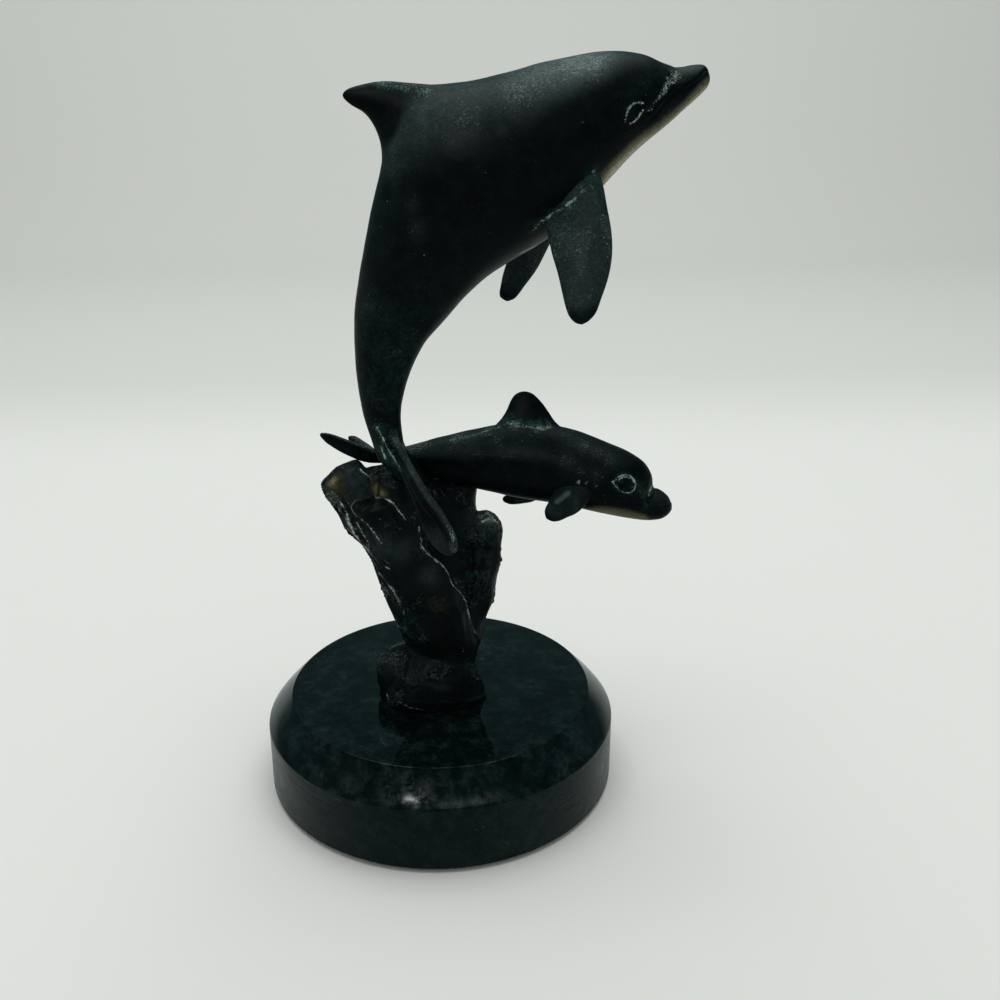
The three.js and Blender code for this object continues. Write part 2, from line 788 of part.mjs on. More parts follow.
function washerGeometry() {
  const hole = STUD_RADIUS + STUD_HOLE_CLEARANCE;
  const profile = [
    [hole, WASHER_TOP],
    [hole, NUT_TOP],
    [WASHER_RADIUS, NUT_TOP],
    [WASHER_RADIUS, WASHER_TOP],
    [hole, WASHER_TOP],
  ];
  return lathed(profile, BOLT_SIDES);
}

function nutGeometry() {
  const corner = NUT_ACROSS_FLATS / Math.sqrt(3);
  const outline = new THREE.Shape();
  for (let side = 0; side < 6; side++) {
    const angle = (Math.PI / 3) * side;
    const [x, y] = [corner * Math.cos(angle), corner * Math.sin(angle)];
    if (side === 0) outline.moveTo(x, y);
    else outline.lineTo(x, y);
  }
  outline.closePath();
  const hole = new THREE.Path();
  hole.absarc(0, 0, STUD_RADIUS + STUD_HOLE_CLEARANCE, 0, 2 * Math.PI, true);
  outline.holes.push(hole);
  const geometry = new THREE.ExtrudeGeometry(outline, {
    depth: NUT_HEIGHT,
    bevelEnabled: false,
    curveSegments: BOLT_SIDES / 2,
  });
  geometry.translate(0, 0, NUT_TOP - NUT_HEIGHT);
  return geometryOf(solidOf(geometry));
}

/** Rock stump: its limbs joined, cut flat underneath and let in round dolphins, pins and stud. */
function rockGeometry() {
  const limbs = Object.values(ROCK_LIMBS).map((limb) => solidOf(limbSkin(limb)));
  const rock = limbs.reduce((joined, limb) => joined.add(limb));
  const floor = new THREE.BoxGeometry(2 * BASE_RADIUS, 2 * BASE_RADIUS, MARBLE_HEIGHT);
  floor.translate(0, 0, -MARBLE_HEIGHT / 2);
  const studHole = barSolid(
    [0, 0, -MARBLE_HEIGHT],
    [0, 0, STUD_IN_ROCK + SEAT_GAP],
    STUD_RADIUS + STUD_HOLE_CLEARANCE,
    BOLT_SIDES,
  );
  const cuts = [
    solidOf(floor),
    studHole,
    inPlace(dolphinSolid(adult, SEAT_GAP).add(pinHole(adult.pin)), placeAdult),
    inPlace(dolphinSolid(calf, SEAT_GAP).add(pinHole(calf.pin)), placeCalf),
  ];
  return geometryOf(largestPiece(cuts.reduce((left, cut) => left.subtract(cut), rock)));
}

/** Slivers that a cut leaves behind are dropped. */
function largestPiece(solid) {
  const pieces = solid.decompose();
  return pieces.reduce((most, piece) => (piece.volume() > most.volume() ? piece : most));
}

/** Dolphin with its pin hole. */
function dolphinGeometry(dolphin) {
  return geometryOf(largestPiece(dolphinSolid(dolphin).subtract(pinHole(dolphin.pin))));
}

/** Flipper whose root follows the body it is brazed to. */
function flipperGeometry(dolphin, blade) {
  const fin = solidOf(bladeSkin(blade, FLIPPER_MESH));
  return geometryOf(largestPiece(fin.subtract(solidOf(bodySkin(dolphin, SEAT_GAP)))));
}

function named(name, geometry, finish) {
  geometry.computeVertexNormals();
  const mesh = new THREE.Mesh(geometry, new THREE.MeshStandardMaterial(finish));
  mesh.name = name;
  return mesh;
}

function pinMesh(name, { foot, top }) {
  return named(name, geometryOf(barSolid(foot, top, PIN_RADIUS, PIN_SIDES)), STEEL);
}

const sculpture = new THREE.Group();
const base = new THREE.Group();
base.add(
  named('marble_base', marbleGeometry(), MARBLE),
  named('felt_pad', feltGeometry(), FELT),
  named('mounting_stud', studGeometry(), STEEL),
  named('stud_washer', washerGeometry(), STEEL),
  named('stud_nut', nutGeometry(), STEEL),
);
const adultGroup = placeAdult(new THREE.Group());
adultGroup.add(
  named('adult_dolphin', dolphinGeometry(adult), BRONZE),
  named('adult_right_flipper', flipperGeometry(adult, ADULT_RIGHT_FLIPPER), BRONZE),
  named('adult_left_flipper', flipperGeometry(adult, ADULT_LEFT_FLIPPER), BRONZE),
  pinMesh('adult_tail_pin', adult.pin),
);
const calfGroup = placeCalf(new THREE.Group());
calfGroup.add(
  named('calf_dolphin', dolphinGeometry(calf), BRONZE),
  named('calf_right_flipper', flipperGeometry(calf, CALF_RIGHT_FLIPPER), BRONZE),
  named('calf_left_flipper', flipperGeometry(calf, CALF_LEFT_FLIPPER), BRONZE),
  pinMesh('calf_belly_pin', calf.pin),
);
const casting = new THREE.Group();
casting.position.z = MARBLE_TOP;
casting.add(named('rock_stump', rockGeometry(), ROCK_BRONZE), adultGroup, calfGroup);
sculpture.add(base, casting);

export default sculpture;
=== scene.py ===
"""Dolphin sculpture: bronze cow and calf over a rock stump on a turned marble base.

The packed model gives places and sizes. The pieces here stand in its place with fine surfaces,
carved eyes, mouths and creases, bark on the rock, and patina, stone and felt finishes.
Tables are in millimetres, and every mesh is in metres.
"""
import functools

import bmesh
import bpy
import numpy as np
from bpy.props import FloatProperty, FloatVectorProperty, IntProperty, PointerProperty
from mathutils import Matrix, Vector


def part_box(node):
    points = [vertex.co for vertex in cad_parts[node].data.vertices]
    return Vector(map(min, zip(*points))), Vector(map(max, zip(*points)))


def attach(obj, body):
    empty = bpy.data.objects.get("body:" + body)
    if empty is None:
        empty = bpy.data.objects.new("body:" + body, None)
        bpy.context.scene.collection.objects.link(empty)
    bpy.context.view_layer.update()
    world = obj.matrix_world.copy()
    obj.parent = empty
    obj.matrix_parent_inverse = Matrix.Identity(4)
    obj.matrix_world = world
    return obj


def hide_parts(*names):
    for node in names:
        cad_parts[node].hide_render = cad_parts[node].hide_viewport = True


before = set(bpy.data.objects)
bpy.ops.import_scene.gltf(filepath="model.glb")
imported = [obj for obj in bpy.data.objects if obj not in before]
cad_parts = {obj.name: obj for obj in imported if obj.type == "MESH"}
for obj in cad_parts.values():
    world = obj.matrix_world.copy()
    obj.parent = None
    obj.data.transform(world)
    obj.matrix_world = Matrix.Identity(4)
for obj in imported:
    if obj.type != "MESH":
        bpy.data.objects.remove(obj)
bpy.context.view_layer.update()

bl_info = {
    "name": "Dolphin sculpture",
    "version": (1, 0, 0),
    "blender": (4, 5, 0),
    "location": "3D View > Sidebar > Sculpture",
    "description": "Builds the visible pieces of a bronze dolphin sculpture on a marble base",
    "category": "Object",
}

MM = 0.001
BODY = "root"
MIRROR = (1.0, -1.0, 1.0)
# An eye's reach where there is no eye, and the number of plane waves in a relief
FAR_AWAY, WAVES = 9.0, 40

# Numbers of rings that round off the beak and the tail's end, and of rings and of faces round
# them on a tail stem and on a fluke
NOSE_RINGS, NOTCH_RINGS = 8, 5
STEM_RINGS, STEM_SIDES = 90, 72
FLUKE_RINGS, FLUKE_SIDES = 90, 60
# A tail stem is grown by these amounts inside the body and outside it. Flukes and flippers swell
# at the root by a share of their thickness
STEM_GROWN = (-0.45, 0.03)
FLUKE_FLARE, FLIPPER_FLARE = 0.25, 0.12
# Rounds of smoothing after a tail and the rock are fused
TAIL_SMOOTHING, ROCK_SMOOTHING = 14, 18

BASE_LOW, BASE_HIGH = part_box("marble_base")
FELT_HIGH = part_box("felt_pad")[1]
BEVEL_HEIGHT, BEVEL_WIDTH = 0.0082, 0.0073

# Adult in its median plane, measured from its place. The body's sections go from beak to tail:
# back forward and up, belly forward and up, and half width. The dorsal fin's outline goes from
# front to back between its roots, which are stations among the sections
ADULT_AT = (-12.0, -8.0, 104.0)
ADULT = {
    "beak": (79.4, 92.2),
    "body": [
        (79.2, 93.4, 79.3, 91.1, 1.2), (78.6, 94.7, 78.9, 90.2, 2.1), (77.4, 95.4, 77.9, 89.1, 3.0),
        (75.0, 95.3, 76.2, 87.5, 3.9), (71.8, 94.9, 73.6, 85.3, 5.2), (67.7, 95.9, 70.5, 82.5, 7.0),
        (62.4, 97.8, 66.6, 79.3, 9.2), (55.3, 98.5, 61.6, 75.2, 11.4),
        (47.0, 97.4, 56.1, 69.4, 13.6), (37.1, 95.4, 50.2, 63.0, 15.6),
        (26.2, 92.6, 43.8, 57.0, 17.2), (13.8, 89.7, 37.0, 52.6, 17.7),
        (3.9, 81.8, 30.9, 49.2, 16.9), (-0.8, 68.6, 25.0, 45.0, 15.0),
        (-3.9, 56.7, 20.1, 40.5, 12.7), (-6.3, 46.0, 15.3, 35.1, 10.4),
        (-7.9, 35.8, 10.0, 29.2, 8.2), (-8.2, 26.1, 6.4, 22.5, 6.3), (-7.8, 17.5, 4.1, 15.8, 4.9),
        (-6.8, 10.0, 3.0, 9.8, 4.1), (-5.1, 3.6, 3.3, 3.6, 3.7), (-3.4, -2.2, 4.4, -2.6, 3.6),
        (0.2, -6.8, 6.8, -7.2, 2.6),
    ],
    "notch": (4.6, -9.4),
    "dorsal": [
        (12.0, 90.9), (7.2, 91.4), (1.9, 91.8), (-2.9, 91.2), (-6.8, 90.1), (-8.2, 88.5),
        (-6.5, 86.6), (-3.3, 84.6), (-1.1, 81.6), (0.2, 78.0), (0.5, 74.2),
    ],
    "dorsal_roots": (10.4, 12.8),
    "dorsal_thickness": 2.9,
}

# Calf, the same way
CALF_AT = (12.2, 2.0, 97.1)
CALF_YAW = -8.0
CALF_ROLL = -15.0
CALF = {
    "beak": (53.2, -11.5),
    "body": [
        (53.0, -10.4, 53.0, -12.6, 1.2), (52.2, -8.8, 52.3, -13.6, 2.6),
        (50.7, -7.4, 50.6, -14.8, 3.8), (49.2, -6.6, 48.2, -15.3, 4.5),
        (48.2, -6.3, 45.6, -15.4, 5.1), (47.8, -4.9, 43.2, -15.2, 6.0),
        (47.1, -2.2, 40.4, -14.8, 7.1), (44.7, 1.1, 37.0, -14.3, 8.2),
        (39.9, 3.8, 32.4, -13.5, 9.0), (33.6, 6.3, 26.8, -12.4, 9.5), (26.6, 8.8, 20.6, -11.4, 9.6),
        (19.4, 10.3, 14.2, -10.6, 9.4), (12.2, 10.7, 7.8, -9.6, 8.8), (4.9, 10.0, 1.5, -8.4, 7.8),
        (-3.0, 8.3, -5.2, -7.0, 6.4), (-11.0, 6.2, -12.1, -5.4, 4.9),
        (-18.3, 4.0, -18.8, -3.6, 3.6), (-23.8, 2.4, -24.0, -2.3, 2.9),
    ],
    "notch": (-28.0, 0.6),
    "dorsal": [
        (20.3, 11.4), (18.4, 14.0), (16.4, 16.6), (14.0, 18.7), (11.5, 19.2), (9.4, 18.3),
        (8.1, 16.4), (7.1, 14.0), (5.8, 11.8),
    ],
    "dorsal_roots": (10.65, 13.1),
    "dorsal_thickness": 2.4,
}

# Blades: leading edge, trailing edge, and thickness at the root and further out
ADULT_RIGHT_FLIPPER = (
    [(48.6, -7, 76), (52, -11, 71.6), (53.4, -15.4, 64.4), (54.2, -19.5, 56), (53.2, -22.4, 49.2),
     (50.6, -24.8, 42.2), (46.8, -25.6, 38.6)],
    [(37.5, -7, 65), (39, -11, 61.2), (39.8, -15, 56.7), (40.9, -19, 52), (42, -22, 46.8),
     (43.5, -24.4, 41.2), (46.8, -25.6, 38.6)],
    (5.4, 2.6),
)
ADULT_LEFT_FLIPPER = (
    [(46.5, 7, 74), (47.7, 11, 68.4), (46.9, 15.2, 59.6), (43.7, 18.6, 51), (40.2, 21.2, 43.6),
     (35.6, 23.8, 36.4), (32.4, 24.5, 34.6)],
    [(34.5, 7, 67), (35.4, 11, 61.6), (34, 15, 54.2), (32.4, 18.4, 47), (31, 21.2, 41.2),
     (30.4, 23.6, 36.6), (32.4, 24.5, 34.6)],
    (5.4, 2.6),
)
CALF_RIGHT_FLIPPER = (
    [(31.4, -4, -3.4), (31.4, -7.6, -6.4), (29.6, -10, -10.6), (26.8, -11.6, -12.8),
     (23.8, -12.6, -14.2), (20.8, -13, -14.7)],
    [(22.6, -4, -3.4), (21.2, -7.6, -6.6), (19.6, -10, -9.9), (18.7, -11.4, -12.2),
     (19, -12.5, -13.9), (20.8, -13, -14.7)],
    (3.6, 2.2),
)
CALF_LEFT_FLIPPER = (
    [(24.5, 4, -3.5), (20.4, 7.6, -8), (16, 10, -11.4), (12.1, 11.6, -12.9), (8.4, 12.6, -13.5),
     (5.8, 13, -12.6)],
    [(15.5, 4, -3.5), (12.4, 7.6, -7), (9.6, 10, -9.4), (7.5, 11.5, -10.5), (6, 12.5, -11.3),
     (5.8, 13, -12.6)],
    (3.4, 2.0),
)
ADULT_RIGHT_FLUKE = (
    [(1.2, 1, 8), (3.2, -1.2, 2.4), (5.1, -3, -1.8), (8, -5.8, -6.4), (11.6, -9, -12),
     (14.9, -11.5, -17.5), (16.8, -13.2, -22.2), (14.6, -14, -25.2)],
    [(-2.4, 1, 5), (-0.8, -1.4, -1), (2.2, -3.6, -5), (4, -5.8, -8.4), (5.8, -8.2, -12.2),
     (7.4, -10.2, -16.6), (9.8, -12.2, -21.6), (14.6, -14, -25.2)],
    (5.2, 2.4),
)
ADULT_LEFT_FLUKE = (
    [(1.2, -1, 8), (3.2, 1.2, 2.4), (4.8, 3, -2.2), (7.4, 5.8, -7), (10.4, 9, -12.4),
     (13.2, 11.5, -17), (14.8, 13, -20.6), (14, 13.8, -22.4)],
    [(-2.4, -1, 5), (-0.8, 1.4, -1), (1.8, 3.6, -5.4), (3.4, 5.8, -9), (5, 8.2, -12.4),
     (6.8, 10.2, -15.6), (8.8, 12, -18.8), (14, 13.8, -22.4)],
    (5.2, 2.4),
)
CALF_RIGHT_FLUKE = (
    [(-19, 1, 0.4), (-24.6, -1.6, 1.8), (-28.8, -4.6, 2.6), (-34.7, -9.4, 5.1), (-38.6, -13.4, 6.9),
     (-41.4, -16, 7)],
    [(-20, 1, -1), (-26.6, -2, -1.4), (-31.4, -5.4, -1), (-36, -10.2, 1.4), (-39.4, -13.8, 4),
     (-41.4, -16, 7)],
    (3.6, 1.9),
)
CALF_LEFT_FLUKE = (
    [(-19, -1, 0.4), (-24.6, 1.6, 1.2), (-29.6, 5, 1.6), (-33.8, 9, 3.4), (-37.4, 12, 5),
     (-40, 13.8, 4.6)],
    [(-20, -1, -1), (-27, 1.8, -1.4), (-31.6, 5, -0.8), (-35, 8.8, 0.4), (-38.2, 12, 2.2),
     (-40, 13.8, 4.6)],
    (3.6, 1.9),
)

# Carving on the right side, mirrored to the left. An eye is its middle forward and up, the tilt
# of its oval in degrees, and the oval's half length and half height
ADULT_HEAD = {
    "side": 5.0,
    "eye": (60.2, 85.0, 50.0, 1.9, 1.1),
    "lid": [(57.3, -11.6, 83.0), (57.9, -11.5, 85.3), (58.7, -11.2, 86.5), (59.9, -10.8, 87.2),
            (61.7, -10.2, 87.1)],
    "underlid": [(58.6, -10.9, 82.7), (59.6, -10.6, 83.0), (60.6, -10.4, 84.0),
                 (61.7, -10.2, 85.6)],
    "mouth": [(79.2, -1.0, 94.0), (77.7, -2.2, 94.1), (76.0, -3.5, 92.6), (74.0, -4.5, 91.3),
              (71.2, -5.8, 90.2), (68.8, -7.1, 88.6), (67.1, -7.8, 86.6), (65.4, -8.4, 84.6),
              (63.9, -8.9, 83.2)],
    "crease": [(70.9, 0.0, 95.2), (70.6, -2.4, 94.8), (70.2, -4.6, 93.3), (68.6, -6.5, 91.7),
               (67.4, -7.7, 89.9), (66.4, -8.3, 88.6), (65.0, -9.0, 87.1), (64.4, -9.0, 85.8),
               (63.5, -9.3, 85.2)],
}
CALF_HEAD = {
    "side": 3.5,
    "eye": (40.1, -4.8, -6.0, 1.75, 1.45),
    "lid": [(36.4, -8.9, -4.3), (37.2, -8.7, -3.8), (38.0, -8.5, -2.9), (39.5, -8.0, -2.4),
            (41.2, -7.5, -2.6), (42.2, -7.6, -3.7), (42.6, -7.6, -5.1)],
    "underlid": [(36.4, -8.9, -4.3), (37.0, -8.8, -4.8), (37.7, -8.8, -5.6), (38.6, -8.5, -6.5),
                 (40.0, -8.2, -7.1), (41.3, -8.0, -7.1), (42.3, -7.8, -6.3), (42.6, -7.6, -5.1)],
    "mouth": [(53.1, -0.8, -10.4), (51.9, -2.5, -10.3), (48.3, -4.5, -10.3), (44.2, -6.4, -10.3),
              (40.9, -7.2, -10.0), (38.2, -7.3, -9.8)],
    "crease": [(48.1, 0.0, -5.4), (47.6, -3.1, -6.0), (47.1, -4.4, -6.9), (46.9, -5.0, -8.0),
               (46.2, -5.8, -9.4)],
}


# Curves and surfaces

def line_through(points, at):
    """Smooth line through points at the stations `at`: each stretch is the cubic whose slope at
    a point is half the step from the point before it to the point after it."""
    points = np.asarray(points, float)
    ends = [2 * points[0] - points[1]], [2 * points[-1] - points[-2]]
    padded = np.concatenate([ends[0], points, ends[1]])
    at = np.clip(np.asarray(at, float), 0, len(points) - 1)
    start = np.minimum(at.astype(int), len(points) - 2)
    t = (at - start)[:, None]
    before, here, there, after = (padded[start + step] for step in range(4))
    return (here + 0.5 * t * (there - before)
            + t ** 2 * (before - 2.5 * here + 2 * there - 0.5 * after)
            + 0.5 * t ** 3 * (3 * here - before - 3 * there + after))


def unit(vectors):
    return vectors / np.maximum(np.linalg.norm(vectors, axis=-1, keepdims=True), 1e-12)


def fade(value, low, high):
    """0 below low, 1 above high, and a smooth rise between, 3t squared less 2t cubed."""
    t = np.clip((value - low) / (high - low), 0, 1)
    return t * t * (3 - 2 * t)


def bell(distance, width):
    """1 at no distance, falling as exp(-(distance / width) squared)."""
    return np.exp(-(distance / width) ** 2)


def closed_skin(rings, first, last):
    """Closed surface over rings of points (ring, side, xyz), with a pole beyond each end."""
    count, sides = rings.shape[:2]
    points = np.concatenate([[first], rings.reshape(-1, 3), [last]])
    side = np.arange(sides)
    after = (side + 1) % sides
    start = 1 + np.arange(count - 1)[:, None] * sides
    quads = np.stack([start + side, start + after, start + sides + after, start + sides + side], -1)
    end = 1 + (count - 1) * sides
    near = np.stack([np.zeros(sides, int), 1 + after, 1 + side], -1)
    far = np.stack([end + side, end + after, np.full(sides, len(points) - 1)], -1)
    return points, [near, quads.reshape(-1, 4), far]


def rounded_end(ring, pole, steps):
    """Rings that close an open end as a quarter ellipse from the ring to the pole."""
    centre = ring.mean(0)
    angle = np.linspace(0, np.pi / 2, steps + 1)[1:-1, None, None]
    return centre + (ring - centre) * np.cos(angle) + (np.asarray(pole) - centre) * np.sin(angle)


def enclosed(points, faces):
    """Volume inside a closed surface, positive when its faces look outwards."""
    total = 0.0
    for group in faces:
        for k in range(1, group.shape[1] - 1):
            a, b, c = (points[group[:, i]] for i in (0, k, k + 1))
            total += np.einsum("ij,ij->", a, np.cross(b, c)) / 6
    return total


def facing_out(points, faces):
    if enclosed(points, faces) < 0:
        faces = [group[:, ::-1] for group in faces]
    return points, faces


def joined(shells):
    """Several surfaces as one list of points and faces."""
    points, faces, offset = [], [], 0
    for shell_points, shell_faces in shells:
        points.append(shell_points)
        faces += [group + offset for group in shell_faces]
        offset += len(shell_points)
    return np.concatenate(points), faces


def body_rings(dolphin, at, sides, grow=0.0):
    """Rings of a dolphin's body at the stations `at`.

    A section lies between its back and belly points: middle + left * width * sin(angle)
    + up * depth * cos(angle). Over the dorsal roots the sections' tops are drawn out to the crest
    of the fin, by reach * exp(-(across / thickness) squared), and faces crowd to the top."""
    table = np.array(dolphin["body"])
    zero = np.zeros(len(table))
    back_line = np.stack([table[:, 0], zero, table[:, 1]], -1)
    belly_line = np.stack([table[:, 2], zero, table[:, 3]], -1)
    back = line_through(back_line, at)
    belly = line_through(belly_line, at)
    width = line_through(table[:, 4:5], at) + grow
    middle = (back + belly) / 2
    up = unit(back - belly)
    depth = np.linalg.norm(back - belly, axis=1)[:, None] / 2 + grow
    roots = np.array(dolphin["dorsal_roots"])
    root_points = line_through(back_line, roots)
    crest_line = [root_points[0], *[(x, 0.0, z) for x, z in dolphin["dorsal"]], root_points[1]]
    share = (at - roots[0]) / (roots[1] - roots[0])
    crest = line_through(crest_line, np.clip(share, 0, 1) * (len(crest_line) - 1))
    on_fin = ((share > 0) & (share < 1))[:, None]
    reach = np.where(on_fin, crest - back, 0.0)
    power = 1 + 0.7 * bell(at - roots.mean(), 1.9)[:, None]
    turn = (2 * np.arange(sides) / sides - 1)[None, :]
    angle = np.pi * np.sign(turn) * np.abs(turn) ** power
    across = width * np.sin(angle)
    thickness = dolphin["dorsal_thickness"] + grow
    rise = np.where(np.cos(angle) > 0, bell(across, thickness), 0.0)
    left = np.array([0.0, 1.0, 0.0])
    return (middle[:, None] + across[..., None] * left
            + (depth * np.cos(angle))[..., None] * up[:, None]
            + rise[..., None] * reach[:, None])


def stations_along(dolphin, spacing):
    """Stations such that rings lie `spacing(station)` apart along the line between back and
    belly, and closer under the dorsal fin."""
    table = np.array(dolphin["body"])
    fine = np.linspace(0, len(table) - 1, 6000)
    middle = line_through((table[:, 0:2] + table[:, 2:4]) / 2, fine)
    step = np.linalg.norm(np.diff(middle, axis=0), axis=1)
    dorsal = bell(fine - np.mean(dolphin["dorsal_roots"]), 1.2)
    counted = step / spacing(fine[1:]) * (1 + 1.6 * dorsal[1:])
    total = np.concatenate([[0], np.cumsum(counted)])
    rings = int(total[-1]) + 1
    return np.interp(np.linspace(0, total[-1], rings), total, fine)


def round_tipped(blade):
    """Edges of a blade with one more step before the tip, a quarter of the way back to the last
    pair of points and half as wide, so that they meet round."""
    lead, trail = (np.array(edge, float) for edge in blade[:2])
    step = lead[-1] + ((lead[-2] + trail[-2]) / 2 - lead[-1]) / 4
    half = (lead[-2] - trail[-2]) / 4
    return (np.concatenate([lead[:-1], [step + half], lead[-1:]]),
            np.concatenate([trail[:-1], [step - half], trail[-1:]]))


def blade_rings(blade, rings, sides, flare):
    """Rings of a flipper or fluke. At the share `out` of the span: middle of the two edges
    + half chord * cos(angle) + normal * thickness * sin(angle) * (1 + a quarter of cos(angle)),
    with the thickness falling to nothing as the square root of 1 - out to the fourth power, and
    swollen at the root by 1 + flare * exp(-out / 0.12)."""
    lead_points, trail_points = round_tipped(blade)
    root_thick, tip_thick = blade[2]
    out = np.sin(np.pi / 2 * np.arange(rings) / rings)
    lead = line_through(lead_points, out * (len(lead_points) - 1))
    trail = line_through(trail_points, out * (len(trail_points) - 1))
    chord = (lead - trail) / 2
    slope = unit(np.gradient(lead, axis=0)) + unit(np.gradient(trail, axis=0))
    normal = unit(np.cross(chord, slope))
    thick = root_thick + (tip_thick - root_thick) * np.minimum(1, out * 1.6)
    thick = (thick / 2 * np.sqrt(1 - out ** 4))[:, None]
    swell = 1 + flare * np.exp(-out / 0.12)[:, None]
    angle = 2 * np.pi * np.arange(sides)[None, :] / sides
    section = thick * swell * np.sin(angle) * (1 + 0.25 * np.cos(angle))
    return ((lead + trail)[:, None] / 2 + chord[:, None] * np.cos(angle)[..., None]
            + normal[:, None] * section[..., None])


def blade_root(blade):
    return (np.array(blade[0][0], float) + np.array(blade[1][0], float)) / 2


def blade_surface(blade, rings, sides, flare):
    skin = blade_rings(blade, rings, sides, flare)
    return facing_out(*closed_skin(skin, blade_root(blade), blade[0][-1]))


def waves(points, size, seed):
    """Smooth uneven relief: the sum of plane waves about `size` long, whose directions, lengths
    and phases come from a seeded generator, scaled to vary by about 1."""
    draw = np.random.default_rng(seed)
    direction = unit(draw.normal(size=(WAVES, 3)))
    length = size * draw.uniform(0.7, 1.5, WAVES)
    phase = draw.uniform(0, 2 * np.pi, WAVES)
    pace = 2 * np.pi * direction / length[:, None]
    return np.sin(points @ pace.T + phase).sum(1) * np.sqrt(2 / WAVES)


def distance_to(line, points, depth=1.0):
    """Distance from each point to the nearest stretch of the smooth line through given points,
    with its front-to-back part counted `depth` times."""
    scale = np.array([1.0, depth, 1.0])
    last = len(line) - 1
    line = line_through(line, np.linspace(0, last, 3 * last + 1)) * scale
    points = points * scale
    best = np.full(len(points), np.inf)
    for start, end in zip(line[:-1], line[1:]):
        run = end - start
        share = np.clip((points - start) @ run / (run @ run), 0, 1)[:, None]
        best = np.minimum(best, np.linalg.norm(points - start - share * run, axis=1))
    return best


def both_sides(line, points, depth=0.6):
    """Distance to a line carved on the right side and mirrored on the left."""
    return np.minimum(distance_to(line, points, depth), distance_to(line, points * MIRROR, depth))


def streaked(points, lines):
    """Distance to the nearest of several lines on the right side."""
    return np.min([distance_to(line, points, 0.6) for line in lines], axis=0)


def near_spots(points, spots):
    """1 in the middle of each round patch, falling off as a bell curve of its radius."""
    return np.max([bell(np.linalg.norm(points - np.array(centre), axis=1), radius)
                   for centre, radius in spots], axis=0)


def both_spots(points, spots):
    """Round patches on the right side, mirrored on the left."""
    return np.maximum(near_spots(points, spots), near_spots(points * MIRROR, spots))


# Meshes

def mesh_of(name, points, faces):
    """A mesh in metres from points in millimetres and groups of equal faces."""
    mesh = bpy.data.meshes.new(name)
    corners = [face for group in faces for face in group.tolist()]
    mesh.from_pydata((points * MM).tolist(), [], corners)
    mesh.shade_smooth()
    mesh.update()
    return mesh


def numbers_of(items, name, kind, width):
    """The numbers under one name of all vertices or edges, a row for each."""
    flat = np.empty(len(items) * width, kind)
    items.foreach_get(name, flat)
    return flat.reshape(-1, width)


def points_of(mesh):
    return numbers_of(mesh.vertices, "co", np.float32, 3).astype(float) / MM


def normals_of(mesh):
    return numbers_of(mesh.vertices, "normal", np.float32, 3).astype(float)


def edges_of(mesh):
    return numbers_of(mesh.edges, "vertices", np.int32, 2)


def move_points(mesh, points):
    mesh.vertices.foreach_set("co", (points * MM).astype(np.float32).ravel())
    mesh.update()


def neighbour_mean(values, edges):
    """Mean of each vertex's neighbours."""
    values = values.reshape(len(values), -1)
    count = np.bincount(edges.ravel(), minlength=len(values))[:, None]
    total = np.stack([
        np.bincount(edges[:, 0], column[edges[:, 1]], len(values))
        + np.bincount(edges[:, 1], column[edges[:, 0]], len(values))
        for column in values.T], -1)
    return total / np.maximum(count, 1)


def smoothed(points, edges, rounds, hold=None):
    """Points eased towards their neighbours by a half and back by a little more, which takes
    out small bumps and keeps the size. `hold` is 0 where a point stays."""
    weight = 1.0 if hold is None else hold[:, None]
    for _ in range(rounds):
        points = points + 0.5 * weight * (neighbour_mean(points, edges) - points)
        points = points - 0.53 * weight * (neighbour_mean(points, edges) - points)
    return points


def hollowness(mesh, rounds):
    """Positive in hollows and negative on edges: how far the neighbours' mean lies along the
    normal, averaged over a few rings of neighbours, in millimetres."""
    points, edges = points_of(mesh), edges_of(mesh)
    lift = ((neighbour_mean(points, edges) - points) * normals_of(mesh)).sum(1)
    for _ in range(rounds):
        lift = neighbour_mean(lift, edges)[:, 0]
    return lift


def remeshed(mesh, voxel):
    """One closed surface round everything that the mesh encloses, in cells of `voxel` metres."""
    carrier = bpy.data.objects.new("carrier", mesh)
    bpy.context.scene.collection.objects.link(carrier)
    modifier = carrier.modifiers.new("fuse", "REMESH")
    modifier.mode = "VOXEL"
    modifier.voxel_size = voxel
    modifier.use_smooth_shade = True
    graph = bpy.context.evaluated_depsgraph_get()
    fused = bpy.data.meshes.new_from_object(carrier.evaluated_get(graph))
    bpy.data.objects.remove(carrier)
    fused.shade_smooth()
    return fused


def stored(mesh, bare=0.0, **amounts):
    """Keeps the amounts of patina at each point, in which bloom and crust also carry painted sheen
    and painted highlights, and of bare metal, for the material to read.
    """
    for name, numbers in {**amounts, "bare": bare}.items():
        layer = mesh.attributes.new(name, "FLOAT", "POINT")
        numbers = np.broadcast_to(np.clip(numbers, 0, 1), len(mesh.vertices))
        layer.data.foreach_set("value", numbers.astype(np.float32))


def piece(name, mesh, material, node):
    """Puts a finished mesh in the scene, on the body, in place of a CAD node."""
    item = bpy.data.objects.new(name, mesh)
    bpy.context.scene.collection.objects.link(item)
    mesh.materials.clear()
    mesh.materials.append(material)
    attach(item, BODY)
    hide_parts(node)


# Materials

